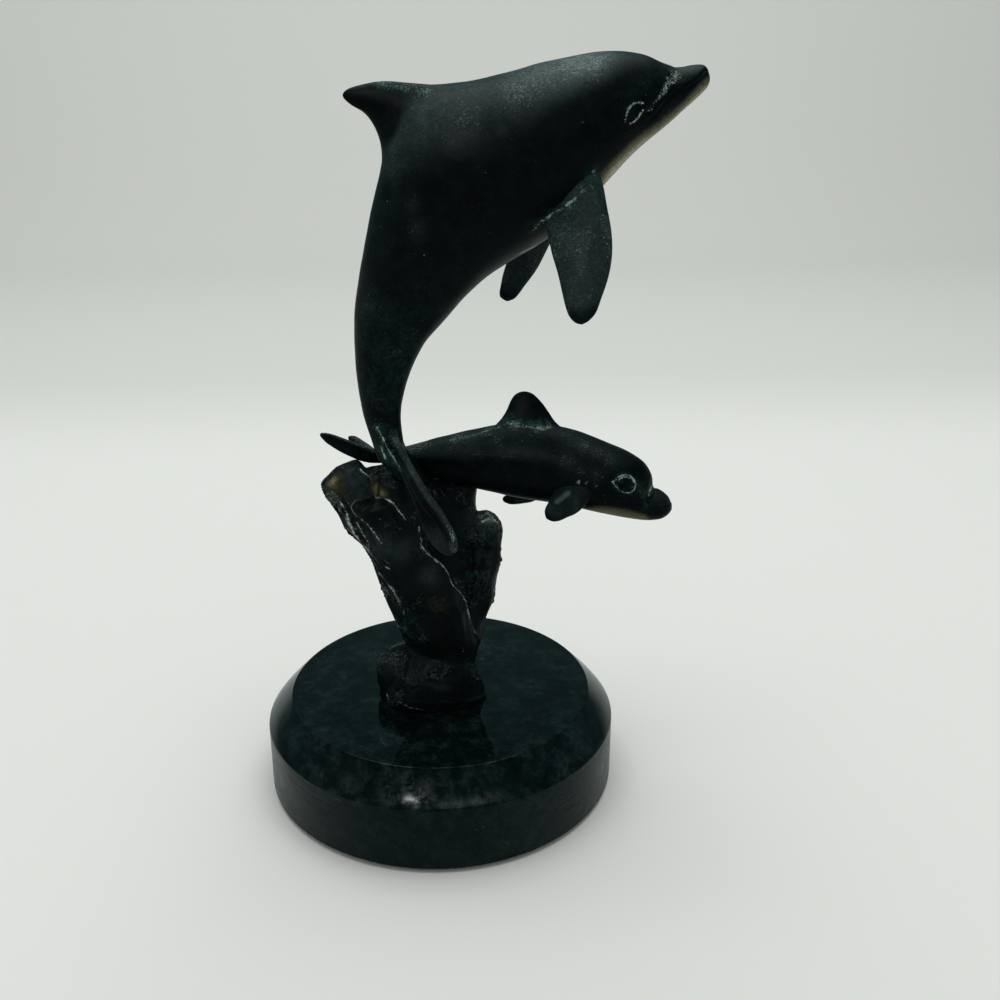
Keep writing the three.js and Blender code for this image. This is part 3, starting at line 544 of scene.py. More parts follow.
class Nodes:
    """A node tree under way, with short calls for the nodes that it is made of."""

    # The sockets of a Mix node that hold colours
    BELOW, ABOVE, BLENDED = 6, 7, 2

    def __init__(self, tree):
        self.tree = tree

    def node(self, kind, **settings):
        made = self.tree.nodes.new("ShaderNode" + kind)
        for name, value in settings.items():
            setattr(made, name, value)
        return made

    def put(self, socket, value):
        """Links an output to the socket, or sets the socket's own number or colour."""
        if isinstance(value, bpy.types.NodeSocket):
            self.tree.links.new(value, socket)
        elif socket.type == "RGBA":
            socket.default_value = (*value[:3], 1.0)
        else:
            socket.default_value = value

    def fill(self, node, **values):
        """Puts values in a node's sockets, whose names are written with _ for a space."""
        for name, value in values.items():
            self.put(node.inputs[name.replace("_", " ")], value)
        return node

    def work(self, operation, first, second=0.0):
        node = self.node("Math", operation=operation)
        self.put(node.inputs[0], first)
        self.put(node.inputs[1], second)
        return node.outputs["Value"]

    def times(self, *factors):
        return functools.reduce(functools.partial(self.work, "MULTIPLY"), factors)

    def plus(self, *parts):
        return functools.reduce(functools.partial(self.work, "ADD"), parts)

    def ramp(self, value, low, high, start=0.0, end=1.0):
        """A smooth change from `start` where the value is low to `end` where it is high."""
        node = self.node("MapRange", interpolation_type="SMOOTHSTEP")
        self.fill(node, Value=value, From_Min=low, From_Max=high, To_Min=start, To_Max=end)
        return node.outputs["Result"]

    def blend(self, share, below, above):
        """One colour laid over another by a share of 0 to 1."""
        node = self.fill(self.node("Mix", data_type="RGBA"), Factor=share)
        self.put(node.inputs[self.BELOW], below)
        self.put(node.inputs[self.ABOVE], above)
        return node.outputs[self.BLENDED]

    def seen_by(self, ray):
        """1 where the rays that see a place are of this kind."""
        return self.node("LightPath").outputs[ray]


class Finish(Nodes):
    """A material under way: its Principled shader, and patterns on the object's own places."""

    def __init__(self, name):
        self.material = bpy.data.materials.new(name)
        self.material.use_nodes = True
        super().__init__(self.material.node_tree)
        self.shader = self.tree.nodes["Principled BSDF"]
        self.place = self.node("TexCoord").outputs["Object"]

    def set(self, **values):
        self.fill(self.shader, **values)

    def stretched(self, x, y, z):
        """The place with its parts along the three axes counted x, y and z times."""
        node = self.fill(self.node("Mapping"), Scale=(x, y, z), Vector=self.place)
        return node.outputs["Vector"]

    def drawn_out(self, times, turn):
        """The place with features `times` as long along a line turned by `turn` about Y."""
        node = self.node("Mapping", vector_type="TEXTURE")
        self.fill(node, Scale=(times, 1.0, 1.0), Rotation=(0.0, turn, 0.0), Vector=self.place)
        return node.outputs["Vector"]

    def noise(self, size, detail=3.0, roughness=0.55, warp=0.0, place=None):
        """Uneven grey from 0 to 1 with features about `size` metres across."""
        node = self.fill(self.node("TexNoise"), Scale=1 / size, Detail=detail,
                         Roughness=roughness, Distortion=warp, Vector=place or self.place)
        return node.outputs["Fac"]

    def cells(self, size):
        """Distance to the nearest of points strewn about `size` metres apart."""
        node = self.fill(self.node("TexVoronoi"), Scale=1 / size, Vector=self.place)
        return node.outputs["Distance"]

    def attribute(self, name):
        return self.node("Attribute", attribute_name=name).outputs["Fac"]

    def axis(self, name):
        return self.fill(self.node("SeparateXYZ"), Vector=self.place).outputs[name]

    def relief(self, *layers):
        """Bumps laid one on another: each layer is a height from 0 to 1 and its depth in metres."""
        under = {}
        for height, depth in layers:
            bump = self.fill(self.node("Bump"), Strength=1.0, Distance=depth, Height=height,
                             **under)
            under = {"Normal": bump.outputs["Normal"]}
        self.set(**under)


def bronze_finish(name, tones, roughness=0.38):
    """Patinated bronze: dark waxed ground, grey bloom, which also paints the sheen of the light and
    soft highlights, pale flecks and scratches, green verdigris, pale crust in the creases, which
    also paints highlight lines on edges and rims, and bare metal. The five amounts are kept on the
    mesh: flecks and crust stand where their amount and a fine noise together pass a limit, so that
    their edges break up. Bare metal below a half is stained, and above it is rubbed clean."""
    finish = Finish(name)
    noise, ramp, times, plus, blend = (
        finish.noise, finish.ramp, finish.times, finish.plus, finish.blend)
    broad = noise(0.018, 3.0, 0.6)
    middling = noise(0.0042, 4.0, 0.6, 0.3)
    gathered = noise(0.0024, 3.0, 0.6, 0.6)
    fine = noise(0.00085, 5.0, 0.72, 0.3)
    speck = noise(0.00042, 4.0, 0.7)
    grain = noise(0.0003, 2.0, 0.6)
    scratch = noise(0.00034, 3.0, 0.6, 0.5, finish.drawn_out(7.0, np.radians(-30)))
    ground = blend(ramp(broad, 0.36, 0.66), tones.dark, tones.blue)
    veiled = times(ramp(middling, 0.46, 0.7), ramp(fine, 0.36, 0.62, 0.3, 1.0))
    ground = blend(veiled, ground, tones.green)

    # Bloom is real grey bloom and also the painted sheen of the light and painted soft highlights
    bloom = times(finish.attribute("bloom"), ramp(middling, 0.25, 0.7, 0.6, 1.0),
                  ramp(fine, 0.3, 0.66, 0.6, 1.0), ramp(speck, 0.3, 0.6, 0.7, 1.0))
    held = finish.attribute("fleck")
    flecks = times(ramp(plus(times(held, 0.24), speck), 0.68, 0.84),
                   ramp(gathered, 0.36, 0.6, 0.3, 1.0))
    lines = times(ramp(plus(times(held, 0.2), scratch), 0.7, 0.88), 0.6)
    flecks = finish.work("MAXIMUM", flecks, lines)
    green = times(finish.attribute("verdigris"),
                  ramp(plus(gathered, times(fine, 0.8)), 0.76, 1.06))
    # Crust is pale crust in creases and also painted highlight lines on edges and rims
    crust = ramp(plus(finish.attribute("crust"), times(speck, 2.2), times(gathered, 0.9)),
                 2.05, 2.75)
    bare = finish.attribute("bare")
    stained = times(ramp(bare, 0.05, 0.5), ramp(fine, 0.3, 0.6, 0.45, 1.0))
    rubbed = times(ramp(bare, 0.5, 1.0), ramp(fine, 0.3, 0.6, 0.5, 1.0),
                   ramp(speck, 0.35, 0.6, 0.7, 1.0))
    dots = times(ramp(finish.cells(0.0022), 0.11, 0.06),
                 ramp(noise(0.008, 3.0, 0.6), 0.55, 0.66), 0.45)

    colour = blend(bloom, ground, tones.bloom)
    colour = blend(green, colour, tones.verdigris)
    colour = blend(flecks, colour, tones.fleck)
    colour = blend(stained, colour, tones.stained)
    colour = blend(rubbed, colour, tones.rubbed)
    colour = blend(crust, colour, tones.crust)
    colour = blend(dots, colour, tones.fleck)
    dull = plus(times(bloom, 0.12), times(green, 0.25), times(crust, 0.3), times(rubbed, 0.15))
    rough = plus(ramp(middling, 0.25, 0.75, roughness - 0.06, roughness + 0.08), dull)
    finish.set(Base_Color=colour, Roughness=finish.work("MINIMUM", rough, 0.85),
               Specular_IOR_Level=0.04)
    finish.relief((middling, 0.00008), (fine, 0.00005), (grain, 0.000015))
    return finish.material


def stone_finish(tones):
    """Dark green marble: clouded ground with soft pale mottling, gathered flecks, and a few
    veins thin as hairs. Its mottling is shinier than the rest. The top is polished, the bevel a
    little worn, and the wall satin and paler, with level saw marks that come and go at its left
    and right."""
    finish = Finish("green_marble")
    noise, ramp, times, plus, blend = (
        finish.noise, finish.ramp, finish.times, finish.plus, finish.blend)
    cloud = noise(0.02, 4.0, 0.6, 0.6)
    mottle = noise(0.005, 6.0, 0.72, 0.3)
    gathered = noise(0.009, 3.0, 0.6, 0.4)
    grit = noise(0.0009, 5.0, 0.72, 0.3)
    ground = blend(ramp(cloud, 0.4, 0.64), tones.dark, tones.middle)
    pale = times(ramp(mottle, 0.44, 0.7), ramp(grit, 0.35, 0.65, 0.35, 1.0),
                 ramp(cloud, 0.35, 0.6, 0.35, 1.0))
    ground = blend(pale, ground, tones.light)
    vein = finish.work("ABSOLUTE", plus(noise(0.035, 3.0, 0.5, 1.2), -0.5))
    hair = times(ramp(vein, 0.003, 0.0), ramp(mottle, 0.52, 0.64), 0.35)
    flecks = times(ramp(grit, 0.6, 0.7), ramp(gathered, 0.46, 0.62), 0.28)
    height = finish.axis("Z")
    top, shoulder = BASE_HIGH.z, BASE_HIGH.z - BEVEL_HEIGHT
    edge = ramp(height, top - 0.0002, top - 0.001)
    wall = ramp(height, shoulder + 0.0002, shoulder - 0.0005)
    marks = noise(0.0007, 2.0, 0.6, 0.0, finish.stretched(0.03, 0.03, 1.0))
    away = finish.work("ABSOLUTE", finish.axis("X"))
    sawn = times(ramp(noise(0.012, 2.0, 0.5), 0.42, 0.6), ramp(away, 0.024, 0.038))
    scored = times(wall, sawn, ramp(marks, 0.5, 0.42))
    satin = plus(times(edge, 0.14), times(wall, 0.3))
    colour = blend(satin, ground, tones.satin)
    colour = blend(hair, colour, tones.vein)
    colour = blend(flecks, colour, tones.vein)
    colour = blend(times(scored, 0.85), colour, tones.dark)
    polish = ramp(grit, 0.3, 0.8, 0.03, 0.08)
    worn = times(edge, ramp(mottle, 0.3, 0.6, 0.05, 0.14))
    gloss = times(ramp(mottle, 0.34, 0.66), ramp(grit, 0.34, 0.6, 0.5, 1.0),
                  plus(times(wall, -0.75), 1.0))
    finish.set(Base_Color=colour, Roughness=plus(polish, worn, times(wall, 0.12)),
               Specular_IOR_Level=0.2,
               Specular_Tint=blend(gloss, tones.shade, (1.0, 1.0, 1.0)))
    finish.relief((times(wall, sawn, ramp(marks, 0.42, 0.52)), 0.00006), (mottle, 0.000006))
    return finish.material


def felt_finish(tones):
    """Black felt: short fibres as uneven light and dark, with a faint sheen."""
    finish = Finish("black_felt")
    fibres = finish.noise(0.0006, 5.0, 0.75, 1.2)
    colour = finish.blend(finish.ramp(fibres, 0.3, 0.75), tones.felt, tones.fibre)
    finish.set(Base_Color=colour, Roughness=0.95, Sheen_Weight=0.3)
    finish.relief((fibres, 0.0003))
    return finish.material


def steel_finish(tones):
    """Zinc-plated steel: turned marks round the axis and a dull grey ground."""
    finish = Finish("turned_steel")
    marks = finish.noise(0.0005, 3.0, 0.6, 0.0, finish.stretched(0.05, 0.05, 1.0))
    cloud = finish.noise(0.004, 3.0, 0.5)
    colour = finish.blend(finish.ramp(cloud, 0.3, 0.7), tones.steel, tones.dull_steel)
    finish.set(Base_Color=colour, Metallic=1.0, Roughness=finish.ramp(marks, 0.3, 0.7, 0.28, 0.5))
    finish.relief((marks, 0.00002))
    return finish.material


# Sizes and colours that can be changed

def colour_of(name, description, default):
    return FloatVectorProperty(name=name, description=description, default=default,
                               subtype="COLOR", size=3, min=0.0, max=1.0)


def length_of(name, description, default):
    return FloatProperty(name=name, description=description, default=default, unit="LENGTH")


def power_of(name, description, default):
    return FloatProperty(name=name, description=description, default=default, unit="POWER")


def angle_of(name, description, degrees):
    return FloatProperty(name=name, description=description, default=np.radians(degrees),
                         subtype="ANGLE")


class BaseSizes(bpy.types.PropertyGroup):
    """Marble base and felt."""

    radius: length_of("Radius", "Radius of the marble", BASE_HIGH.x)
    bevel_height: length_of("Bevel height", "Height of the bevel", BEVEL_HEIGHT)
    bevel_width: length_of("Bevel width", "Width of the bevel from above", BEVEL_WIDTH)
    arris: length_of("Arris", "Rounding of the marble's sharp edges", 0.0003)
    shoulder: length_of("Shoulder", "Rounding between bevel and wall", 0.0009)
    bore: length_of("Bore", "Radius of the bolt's bore", 0.0036)
    recess_radius: length_of("Recess radius", "Radius of the recess for the nut", 0.011)
    recess_depth: length_of("Recess depth", "Depth of the recess for the nut", 0.011)
    segments: IntProperty(name="Segments", description="Faces round the base", default=256, min=32)


class DolphinSizes(bpy.types.PropertyGroup):
    """Fineness and carving of the dolphins."""

    sides: IntProperty(name="Sides", description="Faces round a body", default=208, min=24)
    ring_step: length_of("Ring step", "Distance between rings on a body", 0.00056)
    head_step: length_of("Head ring step", "Distance between rings on a head", 0.00026)
    lid: length_of("Lid", "Height of the lids and the eye", 0.0003)
    mouth: length_of("Mouth", "Depth of the mouth line", 0.0003)
    crease: length_of("Crease", "Depth of the crease behind the beak", 0.0005)
    fuse_cell: length_of("Tail cell", "Cell in which flukes and tail are fused", 0.00035)


class RockSizes(bpy.types.PropertyGroup):
    """Relief of the rock."""

    cell: length_of("Cell", "Cell in which the rock's surface is made", 0.00034)
    bark: length_of("Bark", "Depth of the strands down the left edge", 0.0004)
    lumps: length_of("Lumps", "Height of the broad lumps", 0.0003)
    crumbs: length_of("Crumbs", "Height of the rough patches", 0.00022)
    ridge: length_of("Ridges", "Height of the sharp ridges", 0.0007)
    ledge: length_of("Ledge", "Depth of the step under the brow", 0.0014)


class DolphinTones(bpy.types.PropertyGroup):
    """Patina of the dolphins."""

    dark: colour_of("Dark", "Waxed dark ground", (0.0004, 0.0013, 0.0019))
    blue: colour_of("Blue", "Blue-black parts of the ground", (0.0007, 0.0022, 0.0032))
    green: colour_of("Green", "Green-black parts of the ground", (0.0010, 0.0052, 0.0054))
    # Bloom also paints the sheen of the light on the sides that face it, and soft highlights
    bloom: colour_of("Bloom", "Grey bloom on the upper sides", (0.080, 0.118, 0.116))
    fleck: colour_of("Flecks", "Fine pale flecks", (0.20, 0.26, 0.245))
    verdigris: colour_of("Verdigris", "Green powder round the fins", (0.012, 0.080, 0.066))
    # Crust also paints highlight lines on the fluke's tip and along the belly's rim
    crust: colour_of("Crust", "Pale crust in creases", (0.40, 0.50, 0.46))
    stained: colour_of("Stained metal", "Stained metal under the jaw", (0.100, 0.098, 0.050))
    # Under the adult's jaw this pale tone is rubbed metal and in part the floor's painted
    # reflection
    rubbed: colour_of("Rubbed metal", "Pale rubbed metal at the jaw's edge", (0.40, 0.395, 0.29))


class RockTones(bpy.types.PropertyGroup):
    """Patina of the rock."""

    dark: colour_of("Dark", "Waxed dark ground", (0.0009, 0.0018, 0.0020))
    blue: colour_of("Blue", "Blue-black parts of the ground", (0.0018, 0.0042, 0.0058))
    green: colour_of("Green", "Green-black parts of the ground", (0.0014, 0.0050, 0.0046))
    # Bloom also paints sheen on the rock's upper faces and ridges, and light on the lobe's top
    bloom: colour_of("Bloom", "Grey bloom", (0.074, 0.104, 0.110))
    fleck: colour_of("Flecks", "Fine pale flecks", (0.22, 0.28, 0.26))
    verdigris: colour_of("Verdigris", "Green powder", (0.018, 0.074, 0.060))
    # Crust also paints the highlights along the ridges and on the lit lobe
    crust: colour_of("Crust", "Pale crust", (0.44, 0.52, 0.48))
    stained: colour_of("Stained metal", "Brown metal", (0.032, 0.034, 0.018))
    rubbed: colour_of("Rubbed metal", "Ochre metal", (0.200, 0.178, 0.098))


class BaseTones(bpy.types.PropertyGroup):
    """Marble, felt and steel."""

    dark: colour_of("Dark stone", "Darkest clouds of the marble", (0.0007, 0.0021, 0.0022))
    middle: colour_of("Green stone", "Ground of the marble", (0.0014, 0.0038, 0.0038))
    light: colour_of("Pale stone", "Pale mottling of the marble", (0.0105, 0.0210, 0.0200))
    satin: colour_of("Satin stone", "Less polished stone below the top", (0.0070, 0.0175, 0.0180))
    shade: colour_of("Dull stone", "Reflection where the marble is least shiny", (0.0, 0.0, 0.0))
    vein: colour_of("Vein", "Veins and flecks", (0.085, 0.125, 0.12))
    felt: colour_of("Felt", "Felt", (0.004, 0.004, 0.005))
    fibre: colour_of("Felt fibre", "Loose fibres", (0.02, 0.02, 0.022))
    steel: colour_of("Steel", "Plated steel", (0.42, 0.43, 0.44))
    dull_steel: colour_of("Dull steel", "Dulled plating", (0.28, 0.29, 0.31))


class StageSettings(bpy.types.PropertyGroup):
    """Camera, paper, room and lights."""

    eye_distance: length_of("Distance", "Camera in front of the middle", 0.291)
    eye_height: length_of("Height", "Camera above the floor", 0.1996)
    turn: angle_of("Turn", "Turn of the camera to the right", 3.461)
    tilt: angle_of("Tilt", "Downward tilt of the camera", 21.3205)
    lens: FloatProperty(name="Lens", description="Focal length", default=40.25, unit="CAMERA")
    # Paper tones paint the fall-off of the light: darker further back, paler where it stands up
    floor: colour_of("Floor", "Pale paper near the sculpture", (0.80, 0.815, 0.79))
    distance: colour_of("Distance", "Pale paper further back", (0.69, 0.705, 0.68))
    upright: colour_of("Upright", "Pale paper where it stands up", (0.86, 0.875, 0.845))
    air: colour_of("Air", "Colour of the room's light", (0.97, 1.0, 0.97))
    air_strength: FloatProperty(
        name="Room light", description="Strength of the room's light", default=0.44)
    backdrop: colour_of("Backdrop", "Room behind the paper, from the sides", (0.58, 0.60, 0.57))
    mirrored_room: colour_of("Mirrored room", "Room in reflections", (0.121, 0.242, 0.248))
    mirrored_floor: colour_of("Mirrored floor", "Paper in reflections", (0.62, 0.68, 0.665))
    key_power: power_of("Key light", "Large light above", 10.5)
    fill_power: power_of("Side light", "Light at the left", 0.3)
    spark_power: power_of("Highlight", "Small light in front, seen only in reflections", 4.0)
    strip_power: power_of("Strip", "Long light in front, seen only in reflections", 0.7)


# Builders

def in_plane(point):
    """A point of a dolphin's median plane."""
    return np.array([point[0], 0.0, point[1]])


def adult_placed(points):
    return points + np.array(ADULT_AT)


def calf_placed(points):
    """Rolled about its own length, then turned about the upright, then moved."""
    roll, yaw = np.radians(CALF_ROLL), np.radians(CALF_YAW)
    down, over = np.sin(roll), np.cos(roll)
    left, ahead = np.sin(yaw), np.cos(yaw)
    rolled = np.array([[1, 0, 0], [0, over, -down], [0, down, over]])
    turned = np.array([[ahead, -left, 0], [left, ahead, 0], [0, 0, 1]])
    return points @ (turned @ rolled).T + np.array(CALF_AT)


def body_surface(dolphin, spacing, sides):
    """Whole body: rounded beak, rings, rounded end at the notch."""
    rings = body_rings(dolphin, stations_along(dolphin, spacing), sides)
    beak, notch = in_plane(dolphin["beak"]), in_plane(dolphin["notch"])
    nose = rounded_end(rings[0], beak, NOSE_RINGS)[::-1]
    tail = rounded_end(rings[-1], notch, NOTCH_RINGS)
    return facing_out(*closed_skin(np.concatenate([nose, rings, tail]), beak, notch))


def eye_reach(points, eye):
    """How far out a point lies from an eye's middle: 1 on the oval of its lid."""
    forward, up, tilt, length, height = eye
    x, z = points[:, 0] - forward, points[:, 2] - up
    turn = np.radians(tilt)
    along = x * np.cos(turn) + z * np.sin(turn)
    across = z * np.cos(turn) - x * np.sin(turn)
    return np.sqrt((along / length) ** 2 + (across / height) ** 2)


def carved_head(points, normals, head, sizes):
    """Moves points along their normals by height * bell(distance, width): up on the lids, down
    along the mouth and in the crease behind the beak, which is shallow over the top. The eye
    between the lids is a low dome, height * (1 - reach squared)."""
    aside = np.abs(points[:, 1])
    lids = np.minimum(*(both_sides(head[name], points, 0.3) for name in ("lid", "underlid")))
    reach = np.where(aside > head["side"], eye_reach(points, head["eye"]), FAR_AWAY)
    mouth, crease = (both_sides(head[name], points, 0.5) for name in ("mouth", "crease"))
    deep = 0.35 + 0.65 * fade(aside, 1.5, 5.0)
    lift = sizes.lid / MM * (bell(lids, 0.3) + 0.9 * np.clip(1 - reach ** 2, 0, 1))
    lift -= sizes.mouth / MM * bell(mouth, 0.38) * fade(aside, 0.4, 2.0)
    lift -= sizes.crease / MM * deep * bell(crease, 0.75)
    carved = points + normals * lift[:, None]
    carved[:, 0] = np.minimum(carved[:, 0], points[:, 0].max() - 0.01)
    return carved, lids, reach, mouth, crease


def tail_surface(dolphin, flukes, start, cell, rolls=(), furrows=()):
    """Tail stem and both flukes fused into one skin. The stem starts inside the body and comes
    out to its surface within two stations. Rolls stand up along their lines and furrows lie
    along theirs, each by height * bell(distance, width)."""
    last = len(dolphin["body"]) - 1
    at = np.linspace(start, last, STEM_RINGS)
    thin, full = (body_rings(dolphin, at, STEM_SIDES, grow) for grow in STEM_GROWN)
    share = fade(at, start + 0.3, start + 2.3)[:, None, None]
    rings = thin + (full - thin) * share
    stem = facing_out(*closed_skin(rings, rings[0].mean(0), in_plane(dolphin["notch"])))
    blades = [blade_surface(blade, FLUKE_RINGS, FLUKE_SIDES, FLUKE_FLARE) for blade in flukes]
    mesh = remeshed(mesh_of("tail", *joined([stem, *blades])), cell)
    move_points(mesh, smoothed(points_of(mesh), edges_of(mesh), TAIL_SMOOTHING))
    points, normals = points_of(mesh), normals_of(mesh)
    lift = np.zeros(len(points))
    for line, height, width in rolls:
        lift += height * bell(distance_to(line, points), width)
    for line, depth, width in furrows:
        lift -= depth * bell(distance_to(line, points), width)
    move_points(mesh, points + normals * lift[:, None])
    return mesh


def revolved(profile, segments):
    """A closed profile of radius and height carried round the upright axis."""
    profile = np.asarray(profile, float)
    angle = 2 * np.pi * np.arange(segments) / segments
    rings = np.stack([
        profile[None, :, 0] * np.cos(angle)[:, None],
        profile[None, :, 0] * np.sin(angle)[:, None],
        np.broadcast_to(profile[None, :, 1], (segments, len(profile))),
    ], -1)
    here = np.arange(segments)[:, None] * len(profile)
    there = (np.arange(segments)[:, None] + 1) % segments * len(profile)
    step = np.arange(len(profile))
    after = (step + 1) % len(profile)
    quads = np.stack([here + step, there + step, there + after, here + after], -1)
    return facing_out(rings.reshape(-1, 3), [quads.reshape(-1, 4)])


def eased(corners, radii, steps=6):
    """A closed profile whose corners are rounded: each becomes an arc that leaves its two edges
    its radius away from the corner, by the curve (1-t)^2 a + 2t(1-t) corner + t^2 b."""
    corners = np.asarray(corners, float)
    radii = np.asarray(radii, float)[:, None]
    before = np.roll(corners, 1, axis=0) - corners
    after = np.roll(corners, -1, axis=0) - corners
    a = (corners + unit(before) * radii)[:, None]
    b = (corners + unit(after) * radii)[:, None]
    t = np.linspace(0, 1, steps)[None, :, None]
    arcs = (1 - t) ** 2 * a + 2 * t * (1 - t) * corners[:, None] + t ** 2 * b
    return arcs.reshape(-1, 2)


# Operators

# Where the bevel bulges, in millimetres: in from the wall and up from the bevel's foot
BULGE = (1.6, 2.2)


class MarbleBase(bpy.types.Operator):
    """Turned marble base with its bevel, its bore and the recess for the nut"""

    bl_idname = "sculpture.marble_base"
    bl_label = "Marble base"

    def execute(self, context):
        sizes = context.scene.sculpture_base
        top, low = BASE_HIGH.z / MM, BASE_LOW.z / MM
        radius, bore = sizes.radius / MM, sizes.bore / MM
        recess, ceiling = sizes.recess_radius / MM, low + sizes.recess_depth / MM
        bevel = top - sizes.bevel_height / MM
        corners = [
            (bore, top), (radius - sizes.bevel_width / MM, top),
            (radius - BULGE[0], bevel + BULGE[1]), (radius, bevel), (radius, low),
            (recess, low), (recess, ceiling), (bore, ceiling),
        ]
        arris, shoulder = sizes.arris / MM, sizes.shoulder / MM
        radii = [arris, arris, 2.2 * shoulder, arris, arris / 3, arris, arris, arris]
        mesh = mesh_of("marble_base_turned", *revolved(eased(corners, radii), sizes.segments))
        piece("marble_base_turned", mesh, stone_finish(context.scene.sculpture_base_tones),
              "marble_base")
        return {"FINISHED"}


# Faces round the felt
FELT_SIDES = 360


class FeltPad(bpy.types.Operator):
    """Felt pad under the marble, with a slightly uneven cut edge"""

    bl_idname = "sculpture.felt_pad"
    bl_label = "Felt pad"

    def execute(self, context):
        radius, thick = FELT_HIGH.x / MM, FELT_HIGH.z / MM
        shares = (0.3, 0.6, 0.9, 0.98)
        edge = [(radius - 0.1, 0.06), (radius, 0.4), (radius, thick - 0.4), (radius - 0.1, thick)]
        profile = [(radius * share, 0.0) for share in shares] + edge
        profile += [(radius * share, thick) for share in reversed(shares)]
        angle = 2 * np.pi * np.arange(FELT_SIDES) / FELT_SIDES
        rings = np.array([
            np.stack([out * np.cos(angle), out * np.sin(angle), np.full(FELT_SIDES, height)], -1)
            for out, height in profile])
        points, faces = facing_out(*closed_skin(rings, np.zeros(3), np.array([0, 0, thick])))
        out = np.linalg.norm(points[:, :2], axis=1)
        ragged = 0.09 * (waves(points, 1.6, 7) - 1.5) * fade(out, 0.97 * radius, radius)
        points[:, :2] *= (1 + np.minimum(ragged, 0) / np.maximum(out, 1))[:, None]
        piece("felt_pad_cut", mesh_of("felt_pad_cut", points, faces),
              felt_finish(context.scene.sculpture_base_tones), "felt_pad")
        return {"FINISHED"}


FASTENINGS = ("mounting_stud", "stud_washer", "stud_nut", "adult_tail_pin", "calf_belly_pin")


class Fastenings(bpy.types.Operator):
    """Steel stud, washer and nut under the base, and the pins inside the castings"""

    bl_idname = "sculpture.fastenings"
    bl_label = "Fastenings"

    def execute(self, context):
        steel = steel_finish(context.scene.sculpture_base_tones)
        for name in FASTENINGS:
            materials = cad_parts[name].data.materials
            materials.clear()
            materials.append(steel)
        return {"FINISHED"}


# Rock, in the sculpture's own frame. Raised edges with a pale line along them, crust that also
# paints the edge's highlight: points, height as a share of the ridges' height, and how pale
ROCK_RIDGES = [
    ([(-20.7, -3.9, 97.0), (-18.1, -4.0, 94.1), (-16.0, -4.6, 91.3), (-13.7, -9.6, 91.2),
      (-11.5, -10.7, 90.1), (-10.0, -10.8, 87.8), (-8.7, -10.2, 85.2)], 1.0, 1.0),
    ([(-23.0, -8.2, 88.2), (-21.8, -8.5, 90.1), (-19.1, -7.9, 90.3), (-16.5, -7.0, 90.2),
      (-13.7, -9.6, 91.2)], 1.0, 0.8),
    ([(-23.2, -8.2, 88.2), (-22.5, -8.1, 86.4), (-20.9, -8.4, 85.3), (-18.8, -9.9, 83.6),
      (-16.7, -10.5, 80.8), (-14.9, -10.7, 78.5)], 0.9, 0.9),
    ([(-28.2, -7.2, 92.0), (-25.2, -7.4, 87.1), (-22.8, -6.9, 81.5), (-20.3, -6.8, 76.7),
      (-17.2, -7.8, 72.2), (-13.6, -9.2, 70.0)], 0.8, 0.9),
    ([(-26.0, -7.9, 92.2), (-23.5, -8.0, 87.9), (-21.1, -7.8, 82.5), (-18.6, -8.2, 77.8),
      (-15.4, -9.0, 73.3), (-12.8, -9.7, 70.8)], 0.6, 0.6),
    ([(-16.2, -7.8, 68.2), (-14.1, -9.3, 65.8), (-12.0, -9.6, 62.2), (-11.0, -9.6, 59.1),
      (-9.9, -9.5, 55.9)], 0.7, 0.8),
    ([(-5.3, -8.4, 82.0), (-4.9, -8.0, 77.6), (-3.9, -8.3, 74.8), (-1.2, -7.5, 71.3),
      (1.5, -6.4, 67.1), (3.1, -8.0, 63.5), (5.9, -6.0, 58.6), (7.5, -6.6, 53.9),
      (9.8, -5.2, 47.2), (10.8, -1.8, 42.8)], 1.0, 1.0),
    ([(16.6, -2.3, 77.7), (17.2, -1.6, 71.2), (16.0, -2.4, 63.8), (14.6, -2.9, 56.2)], 0.4, 0.35),
    ([(-15.2, -11.4, 31.0), (-11.7, -15.0, 30.8), (-8.3, -16.6, 30.0), (-4.7, -16.6, 29.2)],
     0.5, 0.9),
]
ROCK_BROW = [(-23.0, 88.2), (-21.8, 89.9), (-19.1, 90.2), (-16.5, 90.3), (-13.7, 91.0),
             (-8.7, 85.8)]
ROCK_STRANDS = [(-29.0, -5.0, 92.0), (-23.6, -5.0, 82.0), (-17.6, -6.0, 71.0), (-12.4, -8.0, 60.0)]
ROCK_BROWN = [((-20.8, -8.7, 87.8), 2.6), ((-0.4, -11.0, 59.5), 4.5), ((-24.0, -7.0, 91.5), 3.0)]
ROCK_OCHRE = [((-28.0, -6.2, 94.8), 2.8), ((-16.2, -5.2, 91.9), 2.2), ((-14.4, -9.2, 92.2), 1.8)]
# Painted light on the lobe's top, which lies in the calf's shade
ROCK_LIT_LOBE = [((13.8, -0.8, 81.8), 2.8), ((16.1, -0.8, 81.0), 2.5)]
